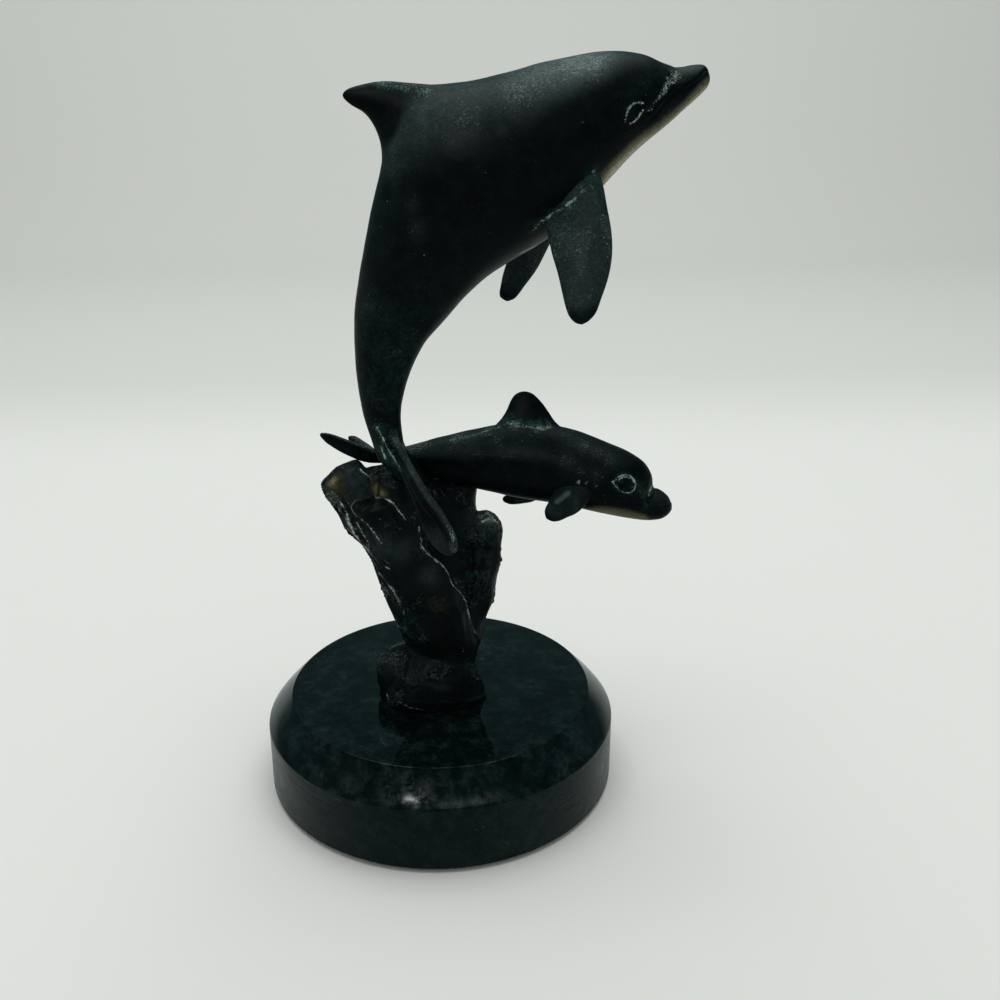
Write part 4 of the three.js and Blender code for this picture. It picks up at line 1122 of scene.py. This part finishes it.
# Patches of grey bloom, partly painted sheen
ROCK_DUST_AND_SHEEN = [((-22.9, -7.0, 96.4), 4.2), ((-21.8, -7.2, 94.6), 3.8), ((-14.4, -10.7, 77.0), 3.6),
              ((-10.0, -11.4, 76.0), 3.6), ((-15.1, -9.1, 41.5), 2.6), ((12.5, -0.2, 81.5), 4.0),
              ((16.1, -1.2, 80.9), 4.0), ((-2.4, -10.1, 68.0), 3.0)]
ROCK_FLECKED = [((-13.4, -11.2, 83.4), 1.8), ((-10.6, -11.1, 82.0), 1.6),
                ((-8.5, -13.0, 37.0), 3.0), ((10.6, -2.6, 76.0), 5.0), ((11.4, -4.9, 61.5), 5.0),
                ((9.0, -9.0, 38.0), 2.4), ((-12.0, -8.5, 50.5), 3.2), ((-17.0, -4.0, 93.6), 2.4),
                ((14.0, -2.0, 80.0), 5.0), ((-6.5, -9.0, 74.0), 2.6)]
ROCK_VERDIGRIS = [((12.6, -1.6, 76.0), 4.5), ((10.8, -3.6, 67.0), 5.0), ((-18.4, -3.6, 95.0), 3.4),
                  ((-11.0, -8.5, 50.0), 5.0), ((-22.0, -7.6, 82.0), 3.0)]
# How far a ridge's flanks reach, and how far below the brow its step fades out
RIDGE_WIDTH, LEDGE_HEIGHT = 0.9, 2.6


class RockStump(bpy.types.Operator):
    """Rock stump: the packed rock's form in fine cells, moved along its normals. Ridges rise by
    height * exp(-distance / width), strands and lumps by smooth waves, and under the brow the
    front steps back by depth * exp(-distance below it / the step's height)"""

    bl_idname = "sculpture.rock_stump"
    bl_label = "Rock stump"

    def execute(self, context):
        sizes = context.scene.sculpture_rock
        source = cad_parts["rock_stump"].data.copy()
        merged = bmesh.new()
        merged.from_mesh(source)
        bmesh.ops.remove_doubles(merged, verts=merged.verts, dist=1e-6)
        merged.to_mesh(source)
        merged.free()
        mesh = remeshed(source, sizes.cell)
        points, edges = points_of(mesh), edges_of(mesh)
        floor = points[:, 2].min()
        free = fade(points[:, 2], floor + 0.2, floor + 1.0)
        move_points(mesh, smoothed(points, edges, ROCK_SMOOTHING, free))
        points, normals = points_of(mesh), normals_of(mesh)
        outer = free * fade(np.linalg.norm(points[:, :2], axis=1), 4.0, 6.0)
        ridge, pale = np.zeros(len(points)), np.zeros(len(points))
        thin = 0.18 + 0.16 * fade(waves(points, 5.0, 18), -0.6, 1.2)
        for line, height, paleness in ROCK_RIDGES:
            away = distance_to(line, points, 0.5)
            ridge = np.maximum(ridge, height * np.exp(-away / RIDGE_WIDTH))
            pale = np.maximum(pale, paleness * bell(away, thin))
        strands = bell(distance_to(ROCK_STRANDS, points, 0.6), 3.4)
        down = unit(np.array(ROCK_STRANDS[2]) - np.array(ROCK_STRANDS[0]))
        drawn_out = points - 0.85 * (points @ down)[:, None] * down
        strand = 1 - 1.6 * np.abs(waves(drawn_out, 2.4, 11))
        crumbled = np.maximum(near_spots(points, ROCK_FLECKED),
                              fade(waves(points, 9.0, 15), 0.8, 1.6))
        lift = sizes.lumps / MM * waves(points, 12.0, 12)
        lift += sizes.bark / MM * strands * strand
        lift += sizes.crumbs / MM * crumbled * waves(points, 1.6, 13)
        lift += sizes.ridge / MM * ridge
        brow = np.array(ROCK_BROW)
        below = points[:, 2] - np.interp(points[:, 0], brow[:, 0], brow[:, 1])
        under = fade(points[:, 0], -23.0, -20.0) * (1 - fade(points[:, 0], -10.5, -8.5))
        front = fade(-normals[:, 1], 0.0, 0.5)
        step = np.where(below < 0, np.exp(below / LEDGE_HEIGHT), 0)
        lift -= sizes.ledge / MM * front * under * step
        moved = points + normals * (lift * outer)[:, None]
        moved[:, 2] = np.maximum(moved[:, 2], floor)
        move_points(mesh, moved)
        points, normals = points_of(mesh), normals_of(mesh)
        pit = fade(hollowness(mesh, 4), 0.006, 0.03)
        patchy = fade(waves(points, 3.0, 16), -0.9, 0.5)
        dust_and_sheen = near_spots(points, ROCK_DUST_AND_SHEEN)
        lit_lobe = near_spots(points, ROCK_LIT_LOBE)
        powdered = 0.1 * pit + 0.45 * patchy * near_spots(points, ROCK_VERDIGRIS)
        # Bloom paints sheen on faces that look up and on the ridges, and the lobe's top is painted
        # lit in bloom and crust; the pale lines on the ridges are crust and painted highlight
        stored(
            mesh,
            bloom=0.01 + 0.32 * dust_and_sheen * (0.8 + 0.2 * patchy) + 0.1 * fade(normals[:, 2], 0.3, 0.95)
            + 0.12 * ridge + lit_lobe,
            fleck=(0.5 * crumbled + 0.4 * strands + 0.2 * pit) * (1 - 0.6 * lit_lobe),
            verdigris=powdered * (1 - lit_lobe),
            crust=pale * (0.85 + 0.3 * patchy) + 0.6 * strands * fade(strand, 0.5, 0.9)
            + 0.45 * crumbled * fade(waves(points, 2.2, 17), 0.8, 1.8) + 1.2 * lit_lobe * patchy,
            bare=0.3 * near_spots(points, ROCK_BROWN)
            * (0.5 + 0.5 * fade(waves(points, 1.8, 19), -1.2, 1.4))
            + near_spots(points, ROCK_OCHRE) * (0.85 + 0.15 * patchy),
        )
        finish = bronze_finish("rock_patina", context.scene.sculpture_rock_tones, 0.33)
        piece("rock_stump_cast", mesh, finish, "rock_stump")
        return {"FINISHED"}


def dolphin_piece(context, name, mesh, node):
    """A finished piece of a dolphin, in the patina that they all share."""
    patina = bpy.data.materials.get("dolphin_patina")
    patina = patina or bronze_finish("dolphin_patina", context.scene.sculpture_dolphin_tones)
    piece(name, mesh, patina, node)


# Patina, in each dolphin's own frame
# Direction of the light whose sheen is painted on the sides that face it
LIGHT_FROM_UPPER_LEFT = (-0.7, -0.1, 0.7)
ADULT_ROOT_CREASE = [(36.4, -12.0, 58.8), (38.1, -12.2, 60.5), (39.8, -12.6, 61.9),
                     (41.6, -13.2, 62.9), (43.8, -13.8, 64.4), (45.9, -14.0, 66.0),
                     (48.2, -13.6, 67.8), (49.9, -13.0, 68.9), (50.6, -12.3, 70.2),
                     (50.4, -11.5, 72.0)]
ADULT_ROOT_SPOTS = [((49.9, -13.4, 68.9), 1.6), ((50.4, -12.0, 71.0), 1.6),
                    ((51.0, -14.9, 66.6), 2.4)]
ADULT_FIN_EDGE = [(0.6, -1.0, 91.2), (1.5, -1.1, 91.1), (3.6, -1.7, 90.7), (5.9, -2.4, 90.3),
                  (9.0, -3.3, 89.6), (12.6, -3.8, 89.7)]
ADULT_FIN_HOLLOW = [(77.2, 2.0), (80.0, 4.3), (83.3, 5.8), (86.6, 6.5), (89.4, 6.8)]
ADULT_WORN = [((3.2, -8.4, 73.4), 3.6), ((-3.6, -6.8, 39.6), 3.6), ((8.9, -14.4, 59.2), 2.6),
              ((28.5, -15.4, 81.5), 1.6), ((7.9, -14.1, 64.8), 2.2), ((33.0, -12.5, 90.5), 5.0),
              ((20.0, -14.0, 83.0), 5.0), ((50.0, -8.0, 96.0), 4.0)]
ADULT_CLEAN = [((64.4, -6.6, 93.6), 3.0), ((61.0, -9.7, 91.0), 3.2), ((57.5, -11.2, 88.0), 3.2)]
# A painted highlight along a rim of the belly, carried as crust
ADULT_RIM_HIGHLIGHT = [(33.6, -6.0, 51.4), (35.6, -5.0, 52.6), (36.3, -4.3, 53.3), (38.4, -1.6, 53.9)]
ADULT_JAW = [(50.0, 69.4), (54.0, 72.6), (59.5, 77.4), (63.1, 80.1), (66.8, 82.2), (70.5, 84.9),
             (74.1, 88.2), (77.2, 91.3), (79.0, 92.4)]
ADULT_STREAKS = [
    [(-3.2, -3.7, 7.5), (-1.7, -3.7, 4.3), (-0.4, -3.7, 1.1), (1.4, -4.0, -1.9), (3.2, -5.4, -4.3),
     (4.7, -6.5, -5.5)],
    [(-2.4, -3.3, 1.9), (-1.3, -3.4, -1.3)],
]
ADULT_ROLL = [(0.9, -3.3, 5.7), (2.6, -3.4, 1.4), (4.4, -4.5, -1.7), (6.1, -6.3, -4.7),
              (8.4, -8.1, -8.2), (10.5, -9.6, -11.3), (12.7, -10.6, -14.2), (14.6, -11.8, -17.4),
              (16.0, -12.7, -20.2), (16.2, -14.1, -23.3)]
ADULT_FURROW = [(1.2, -4.0, 1.0), (3.2, -5.2, -2.8), (5.0, -6.8, -6.0), (7.2, -8.6, -9.4),
                (9.4, -10.2, -12.4), (11.9, -11.3, -14.7), (13.7, -12.4, -17.7),
                (15.2, -13.4, -20.6)]
CALF_FIN_ROOT = [(7.2, -2.9, 10.7), (10.3, -4.1, 10.0), (14.1, -4.6, 9.7), (17.0, -4.7, 9.4),
                 (19.0, -3.4, 10.0)]
CALF_FIN_TEAL = [(7.0, -1.6, 12.0), (10.8, -3.2, 11.3), (14.4, -3.9, 10.8), (18.4, -3.2, 10.6)]
CALF_BACK_TEAL = [(-8.1, -3.5, 5.5), (-2.5, -4.0, 6.8), (2.9, -3.6, 8.5), (5.6, -3.0, 9.7)]
CALF_SCRATCHES = [[(0.4, -7.3, 2.2), (11.0, -8.7, 1.6)], [(3.0, -6.7, -4.0), (9.4, -7.8, -3.8)]]
CALF_WORN = [((28.1, -6.8, 5.0), 3.2), ((31.9, -6.9, 3.5), 3.0), ((35.7, -7.3, 1.5), 3.0),
             ((44.6, -6.6, -6.4), 2.2), ((5.0, -7.0, 6.0), 2.0), ((24.5, -8.4, 1.0), 3.0),
             ((28.0, -8.8, -2.0), 2.4), ((32.0, -8.6, -2.6), 2.6)]
CALF_FIN_FOOT = [(0, 10, 20, 26), (11.6, 12.6, 12.0, 11.0)]
CALF_FLIPPER_SHINE = [(21.9, -11.0, -9.8), (23.2, -10.6, -8.8), (24.7, -10.0, -7.6)]
CALF_MARKS = [((27.6, -9.2, -4.5), 0.9), ((29.7, -9.2, -4.7), 1.0), ((32.1, -9.0, -5.5), 0.9),
              ((10.6, -8.6, 1.2), 0.5)]
CALF_JAW = [(28.0, -11.0), (31.8, -10.8), (34.8, -10.6), (38.3, -11.0), (41.6, -11.6),
            (44.3, -12.4), (46.5, -12.9), (54.0, -14.5)]


class AdultDolphin(bpy.types.Operator):
    """Adult's body with its dorsal fin, carved head and patina"""

    bl_idname = "sculpture.adult_dolphin"
    bl_label = "Adult dolphin"

    def execute(self, context):
        sizes = context.scene.sculpture_dolphins
        dolphin_piece(context, "adult_body", self.body(sizes), "adult_dolphin")
        dolphin_piece(context, "adult_tail", self.tail(sizes), "adult_dolphin")
        return {"FINISHED"}

    @staticmethod
    def body(sizes):
        fine, coarse = sizes.head_step / MM, sizes.ring_step / MM
        mesh = mesh_of("adult_body", *body_surface(
            ADULT, lambda at: fine + (coarse - fine) * fade(at, 6.4, 8.0), sizes.sides))
        points, normals = points_of(mesh), normals_of(mesh)
        carved, lids, _, mouth, crease = carved_head(points, normals, ADULT_HEAD, sizes)
        x, z = points[:, 0], points[:, 2]
        carved += normals * (0.04 * waves(points, 9.0, 21) * fade(76 - x, 0, 10))[:, None]
        jaw = np.interp(x, *np.array(ADULT_JAW).T)
        # The side facing that light, most of all high on the back: where its sheen is painted
        lit_side = fade(normals @ np.array(LIGHT_FROM_UPPER_LEFT), 0.3, 0.8) * (0.1 + 0.9 * fade(z, 66, 88))
        lit_side *= (0.4 + 0.6 * fade(x, 24, 46)) * (1 - 0.65 * fade(x, 51, 60))
        edge_x = np.interp(z, *np.array(ADULT_FIN_HOLLOW).T)
        fin_hollow = fade(edge_x - x, -0.8, 1.2) * fade(z, 75.5, 78) * (1 - fade(z, 89.2, 90.6))
        clean = both_spots(points, ADULT_CLEAN)
        worn = both_spots(points, ADULT_WORN)
        fin_edge = both_sides(ADULT_FIN_EDGE, points)
        root = both_sides(ADULT_ROOT_CREASE, points)
        streaks = streaked(points, ADULT_STREAKS)
        cloud = fade(waves(points, 10.0, 22), -0.6, 1.3)
        low = fade(60 - z, 0, 40)
        patch = bell(crease, 0.45 + 1.3 * fade(z, 87.5, 92.5))
        patch *= fade(np.abs(points[:, 1]), 2.0, 3.6)
        # Painted sheen on the top of the upper beak, above the mouth line
        lips = np.array(ADULT_HEAD["mouth"])[::-1]
        above = fade(z - np.interp(x, lips[:, 0], lips[:, 2]), 0.2, 1.2)
        upper_beak_sheen = fade(x, 69.5, 72.0) * above
        # Painted sheen, kept out of the fin's hollow and the clean spots
        painted_sheen = lit_side * (1 - 0.9 * fin_hollow) * (1 - 0.7 * clean)
        broken = fade(waves(points, 2.6, 23), 0, 0.8)
        spots = both_spots(points, ADULT_ROOT_SPOTS)
        # Bloom carries the painted sheen and stops along the mouth line, whose groove is left dark
        # as painted shade; flecks follow the painted sheen
        stored(
            mesh,
            bloom=(0.012 + 1.15 * painted_sheen + 0.03 * cloud * low + 0.1 * worn) * fade(mouth, 0.5, 0.9)
            + 0.3 * upper_beak_sheen * fade(normals[:, 2], -0.2, 0.9),
            fleck=(0.8 * painted_sheen + 0.35 * worn + 0.22 * low * cloud + 0.08 * cloud) * (1 - fin_hollow)
            + 0.45 * bell(root, 1.6) + 0.5 * bell(fin_edge, 1.4) + 0.8 * patch,
            verdigris=0.6 * bell(fin_edge, 0.8) + 0.6 * bell(streaks, 1.0) + 0.15 * bell(root, 1.8)
            + 0.12 * low + 0.5 * spots + 0.1 * clean,
            crust=1.15 * bell(lids, 0.32) + 0.68 * patch + 0.8 * bell(root, 0.42)
            + 0.9 * bell(streaks, 0.32) + 0.5 * bell(fin_edge, 0.5) * broken + 0.65 * spots
            # painted highlight along the belly's rim
            + 1.05 * bell(distance_to(ADULT_RIM_HIGHLIGHT, points), 0.95),
            # Rubbed metal under the jaw, whose pale band is in part the floor's painted reflection
            bare=fade(jaw + 0.9 - z, -1.6, 4.4) * fade(x, 49.0, 56.0)
            * (1 - 0.2 * fade(-normals[:, 2], 0.6, 1.0)),
        )
        move_points(mesh, adult_placed(carved))
        return mesh

    @staticmethod
    def tail(sizes):
        mesh = tail_surface(
            ADULT, (ADULT_RIGHT_FLUKE, ADULT_LEFT_FLUKE), 16.6, sizes.fuse_cell,
            [(ADULT_ROLL, 0.8, 0.8)], [(ADULT_FURROW, 0.9, 0.8)])
        points, normals = points_of(mesh), normals_of(mesh)
        streaks = streaked(points, ADULT_STREAKS)
        # A painted highlight runs along the roll, and a painted bright line along its last stretch
        # at the fluke's tip
        roll = distance_to(ADULT_ROLL, points)
        tip_highlight = distance_to(ADULT_ROLL[-3:], points)
        # The furrow keeps only the dark ground, as its painted shade
        furrow_shade = bell(distance_to(ADULT_FURROW, points), 0.9)
        outer = fade(-12 - points[:, 2], 0, 8)
        # The fluke's near face, where a painted sheen lies
        face = outer * fade(-points[:, 1], 2, 8) * (1 - bell(roll, 1.6))
        stored(
            # Bloom paints the highlight along the roll and the sheen on the near face and on the
            # stem's sides that face left; crust paints the bright line at the tip
            mesh,
            bloom=(0.01 + 1.4 * bell(roll, 0.72) + 0.25 * face * fade(-20 - points[:, 2], -6, 2)
                   + 0.1 * fade(-normals[:, 0], 0.3, 0.95) * (1 - outer)) * (1 - 0.95 * furrow_shade),
            fleck=(0.2 + 0.4 * bell(streaks, 2.0) + 0.5 * bell(roll, 1.0)) * (1 - furrow_shade),
            verdigris=0.6 * bell(streaks, 1.2) * (1 - furrow_shade),
            crust=(0.9 * bell(streaks, 0.36) + 0.45 * bell(roll, 0.6)) * (1 - furrow_shade)
            + 1.1 * bell(tip_highlight, 0.62),
        )
        move_points(mesh, adult_placed(points))
        return mesh


class CalfDolphin(bpy.types.Operator):
    """Calf's body with its dorsal fin, carved head and patina"""

    bl_idname = "sculpture.calf_dolphin"
    bl_label = "Calf dolphin"

    def execute(self, context):
        sizes = context.scene.sculpture_dolphins
        dolphin_piece(context, "calf_body", self.body(sizes), "calf_dolphin")
        dolphin_piece(context, "calf_tail", self.tail(sizes), "calf_dolphin")
        return {"FINISHED"}

    @staticmethod
    def body(sizes):
        fine, coarse = sizes.head_step / MM * 0.75, sizes.ring_step / MM * 0.7
        mesh = mesh_of("calf_body", *body_surface(
            CALF, lambda at: fine + (coarse - fine) * fade(at, 8.6, 9.6), int(sizes.sides * 0.95)))
        points, normals = points_of(mesh), normals_of(mesh)
        carved, lids, reach, _, crease = carved_head(points, normals, CALF_HEAD, sizes)
        x, z = points[:, 0], points[:, 2]
        carved += normals * (0.03 * waves(points, 7.0, 31) * fade(50 - x, 0, 6))[:, None]
        jaw = np.interp(x, *np.array(CALF_JAW).T)
        # The side facing the light, where its sheen is painted
        lit_side = fade(normals @ np.array(LIGHT_FROM_UPPER_LEFT), 0.15, 0.75)
        bulb = fade(x, 46.5, 48.5)
        cloud = fade(waves(points, 7.0, 32), -0.4, 1.2)
        upper_lid = bell(reach - 1.32, 0.17) * fade(z, -5.2, -3.4)
        inner_lid = bell((reach - 1.08) * 1.6, 0.18)
        fin_root = both_sides(CALF_FIN_ROOT, points)
        fin_teal = both_sides(CALF_FIN_TEAL, points)
        back_teal = both_sides(CALF_BACK_TEAL, points)
        scratches = streaked(points, CALF_SCRATCHES)
        worn = both_spots(points, CALF_WORN)
        on_fin = fade(z - np.interp(x, *CALF_FIN_FOOT), 0.6, 2.0)
        # Painted sheen on the lit side, with worn spots
        painted_sheen = 0.005 + (0.16 + 0.2 * fade(6 - x, 0, 12)) * lit_side + 0.12 * worn
        strewn = 0.06 + 0.6 * lit_side * cloud + 0.45 * worn + 0.4 * bell(scratches, 0.4)
        # Bloom carries the painted sheen, and on the melon the painted sheen of its top; flecks
        # follow the lit side
        stored(
            mesh,
            bloom=painted_sheen * (1 - 0.8 * on_fin) * (1 - bulb)
            + 0.2 * bulb * fade(normals[:, 2], -0.4, 0.9),
            fleck=strewn * (1 - bulb) * (1 - 0.7 * on_fin)
            + 0.6 * bell(fin_root, 1.2) + 0.3 * bell(reach - 1.5, 0.5),
            verdigris=0.62 * bell(fin_teal, 1.2) + 0.4 * bell(back_teal, 1.0)
            + (0.12 * lit_side + 0.5 * bell(crease, 1.8)) * (1 - bulb) + 0.4 * bell(reach - 1.3, 0.6),
            crust=0.9 * bell(lids, 0.26) + 0.8 * upper_lid + 0.35 * inner_lid
            + 0.85 * bell(crease, 0.8) * fade(-points[:, 1], 1.4, 3.0) * fade(z, -9.0, -8.0)
            + 0.62 * bell(fin_root, 0.75) + 0.6 * bell(back_teal, 0.6)
            + 0.75 * both_spots(points, CALF_MARKS),
            bare=0.56 * fade(jaw - z, -0.8, 2.6) * fade(x, 28.0, 33.0) * (1 - fade(x, 45.0, 48.5)),
        )
        move_points(mesh, calf_placed(carved))
        return mesh

    @staticmethod
    def tail(sizes):
        mesh = tail_surface(CALF, (CALF_RIGHT_FLUKE, CALF_LEFT_FLUKE), 13.6, sizes.fuse_cell * 0.85)
        points, up = points_of(mesh), normals_of(mesh)[:, 2]
        hollow = hollowness(mesh, 4)
        # Bloom paints sheen on the faces that look up, where flecks gather too; verdigris and crust
        # lie in the hollows
        stored(
            mesh,
            bloom=0.02 + 0.34 * fade(up, 0, 0.8),
            fleck=0.1 + 0.6 * fade(up, -0.2, 0.6),
            verdigris=0.06 + 0.2 * fade(hollow, 0.003, 0.02),
            crust=0.2 * fade(hollow, 0.006, 0.03),
        )
        move_points(mesh, calf_placed(points))
        return mesh


# Flippers: CAD node, blade, placing, rings and faces round it, amounts of bloom and flecks. The
# bloom is a painted soft highlight
FLIPPERS = (
    ("adult_right_flipper", ADULT_RIGHT_FLIPPER, adult_placed, 150, 120, 0.26, 0.52),
    ("adult_left_flipper", ADULT_LEFT_FLIPPER, adult_placed, 150, 120, 0.12, 0.32),
    ("calf_right_flipper", CALF_RIGHT_FLIPPER, calf_placed, 110, 90, 0.09, 0.22),
    ("calf_left_flipper", CALF_LEFT_FLIPPER, calf_placed, 110, 90, 0.06, 0.22),
)


class Flippers(bpy.types.Operator):
    """The four flippers, each a blade that thins to a smooth rounded tip"""

    bl_idname = "sculpture.flippers"
    bl_label = "Flippers"

    def execute(self, context):
        for number, (node, blade, placed, rings, sides, dust_and_sheen, flecked) in enumerate(FLIPPERS):
            points, faces = blade_surface(blade, rings, sides, FLIPPER_FLARE)
            mesh = mesh_of(node + "_blade", points, faces)
            normals = normals_of(mesh)
            out = np.linalg.norm(points - blade_root(blade), axis=1)
            share = out / out.max()
            smooth_tip = fade(share, 0.86, 0.95)
            across = np.linalg.norm(np.array(blade[0][2]) - np.array(blade[1][2]))
            trough = waves(points * [1, 1, 0.25], across * 0.5, 61 + number)
            shaped = points + normals * (0.07 * trough * (1 - smooth_tip))[:, None]
            near_root = bell(share - 0.22, 0.12)
            if placed is calf_placed:
                # A painted highlight along the calf's right flipper
                shine = bell(distance_to(CALF_FLIPPER_SHINE, points), 0.6)
                crust = 0.25 * near_root
            else:
                shine = 0.0
                crease = both_sides(ADULT_ROOT_CREASE, points)
                broken = fade(waves(points, 2.0, 71), 0.3, 1)
                crust = 0.75 * bell(crease, 0.42) + 0.5 * bell(crease, 1.4) * broken
            stored(
                # Bloom paints each flipper's soft highlight, and highlights on the crests of its
                # troughs
                mesh,
                bloom=dust_and_sheen * (1 - 0.8 * smooth_tip) + 1.6 * shine
                + 0.1 * fade(trough, 0.3, 1.2) * (1 - smooth_tip),
                fleck=flecked * (1 - smooth_tip) * (0.55 + 0.45 * fade(trough, -0.6, 0.8)),
                verdigris=0.06 + 0.2 * near_root,
                crust=crust,
            )
            move_points(mesh, placed(shaped))
            dolphin_piece(context, node + "_blade", mesh, node)
        return {"FINISHED"}


# Paper under and behind the sculpture, in millimetres
PAPER_HALF_WIDTH = 5000.0
PAPER_FRONT, PAPER_MIDDLE, PAPER_FAR = -5000.0, -400.0, 900.0
PAPER_BEND, PAPER_TOP = 300.0, 650.0
# Lights: name, setting of its power, place, size, turn in degrees, and whether it is seen only
# in reflections
LIGHTS = (
    ("overhead", "key_power", (0.02, 0.22, 1.25), (1.2, 1.2), (-3, 0, 0), False),
    ("left", "fill_power", (-0.9, -0.35, 0.5), (0.7, 0.7), (25, -62, 0), False),
    ("highlight", "spark_power", (-0.35, -0.88, 0.84), (0.12, 0.06), (50, 0, -21), True),
    ("strip", "strip_power", (0.25, -0.92, 0.72), (0.7, 0.1), (52, 0, 12), True),
)
CAMERA_SENSOR = 36.0
CAMERA_CLIP = (0.01, 20.0)


def paper_surface():
    """A grid over the floor, round a quarter circle behind it, and up."""
    bend = np.linspace(0, np.pi / 2, 24)
    depth = np.concatenate([[PAPER_FRONT, PAPER_MIDDLE], PAPER_FAR + PAPER_BEND * np.sin(bend),
                            [PAPER_FAR + PAPER_BEND]])
    height = np.concatenate([[0, 0], PAPER_BEND - PAPER_BEND * np.cos(bend), [PAPER_TOP]])
    x, y = np.meshgrid(np.linspace(-PAPER_HALF_WIDTH, PAPER_HALF_WIDTH, 9), depth)
    points = np.stack([x, y, np.broadcast_to(height[:, None], x.shape)], -1).reshape(-1, 3)
    index = np.arange(x.size).reshape(x.shape)
    quads = np.stack([index[:-1, :-1], index[:-1, 1:], index[1:, 1:], index[1:, :-1]], -1)
    return points, [quads.reshape(-1, 4)]


class Stage(bpy.types.Operator):
    """Pale paper sweep, soft lights, and the camera"""

    bl_idname = "sculpture.stage"
    bl_label = "Stage"

    def execute(self, context):
        scene = context.scene
        settings = scene.sculpture_stage
        scene.view_settings.view_transform = "Standard"
        self.paper(scene, settings)
        for light in LIGHTS:
            self.light(scene, settings, *light)
        self.room(scene, settings)
        self.camera(scene, settings)
        return {"FINISHED"}

    @staticmethod
    def paper(scene, settings):
        mesh = mesh_of("paper_sweep", *paper_surface())
        paper = Finish("pale_paper")
        # Painted fall-off of the light: the paper is darker further back and paler where it stands
        # up
        shade = paper.plus(paper.ramp(paper.axis("Y"), 0.27, 0.48),
                           paper.times(paper.noise(0.25), 0.02))
        height = paper.axis("Z")
        colour = paper.blend(shade, settings.floor, settings.distance)
        colour = paper.blend(paper.ramp(height, 0.0, 0.55), colour, settings.upright)
        mirrored = paper.blend(paper.ramp(height, 0.0, 0.12), settings.mirrored_floor,
                               settings.mirrored_room)
        paper.set(Base_Color=paper.blend(paper.seen_by("Is Glossy Ray"), colour, mirrored),
                  Roughness=0.8, Specular_IOR_Level=0.1)
        mesh.materials.append(paper.material)
        sweep = bpy.data.objects.new("paper_sweep", mesh)
        scene.collection.objects.link(sweep)

    @staticmethod
    def light(scene, settings, name, power, place, size, turn, only_mirrored):
        data = bpy.data.lights.new(name, "AREA")
        data.energy = getattr(settings, power)
        data.shape = "RECTANGLE"
        data.size, data.size_y = size
        lamp = bpy.data.objects.new(name, data)
        lamp.location = place
        lamp.rotation_euler = np.radians(turn)
        lamp.visible_diffuse = not only_mirrored
        scene.collection.objects.link(lamp)

    @staticmethod
    def room(scene, settings):
        """The room lights the sculpture with one colour, shows another in reflections and a
        third to the camera."""
        world = bpy.data.worlds.new("room")
        world.use_nodes = True
        room = Nodes(world.node_tree)
        air = [settings.air_strength * part for part in settings.air]
        seen = room.blend(room.seen_by("Is Glossy Ray"), air, settings.mirrored_room)
        seen = room.blend(room.seen_by("Is Camera Ray"), seen, settings.backdrop)
        room.fill(room.tree.nodes["Background"], Color=seen)
        scene.world = world

    @staticmethod
    def camera(scene, settings):
        lens = bpy.data.cameras.new("camera")
        lens.sensor_width = CAMERA_SENSOR
        lens.lens = settings.lens
        lens.clip_start, lens.clip_end = CAMERA_CLIP
        camera = bpy.data.objects.new("camera", lens)
        camera.location = (0.0, -settings.eye_distance, settings.eye_height)
        camera.rotation_euler = (np.pi / 2 - settings.tilt, 0.0, -settings.turn)
        scene.collection.objects.link(camera)
        scene.camera = camera


class SculpturePanel(bpy.types.Panel):
    """Lists the steps, the sizes and the colours"""

    bl_idname = "VIEW3D_PT_sculpture"
    bl_label = "Dolphin sculpture"
    bl_space_type = "VIEW_3D"
    bl_region_type = "UI"
    bl_category = "Sculpture"

    def draw(self, context):
        for step in STEPS:
            self.layout.operator(step.bl_idname)
        for name, group in SETTINGS.items():
            box = self.layout.box()
            box.label(text=group.__doc__)
            for key in group.__annotations__:
                box.prop(getattr(context.scene, name), key)


STEPS = (Stage, MarbleBase, FeltPad, Fastenings, RockStump, AdultDolphin, CalfDolphin, Flippers)
SETTINGS = {
    "sculpture_base": BaseSizes,
    "sculpture_rock": RockSizes,
    "sculpture_dolphins": DolphinSizes,
    "sculpture_base_tones": BaseTones,
    "sculpture_rock_tones": RockTones,
    "sculpture_dolphin_tones": DolphinTones,
    "sculpture_stage": StageSettings,
}


def register():
    for group in SETTINGS.values():
        bpy.utils.register_class(group)
    for step in (*STEPS, SculpturePanel):
        bpy.utils.register_class(step)
    for name, group in SETTINGS.items():
        setattr(bpy.types.Scene, name, PointerProperty(type=group))


def unregister():
    for name in SETTINGS:
        delattr(bpy.types.Scene, name)
    for step in (SculpturePanel, *reversed(STEPS)):
        bpy.utils.unregister_class(step)
    for group in SETTINGS.values():
        bpy.utils.unregister_class(group)


def main():
    """Registers the steps and builds everything in order."""
    register()
    bpy.ops.sculpture.stage()
    bpy.ops.sculpture.marble_base()
    bpy.ops.sculpture.felt_pad()
    bpy.ops.sculpture.fastenings()
    bpy.ops.sculpture.rock_stump()
    bpy.ops.sculpture.adult_dolphin()
    bpy.ops.sculpture.calf_dolphin()
    bpy.ops.sculpture.flippers()


if __name__ == "__main__":
    main()
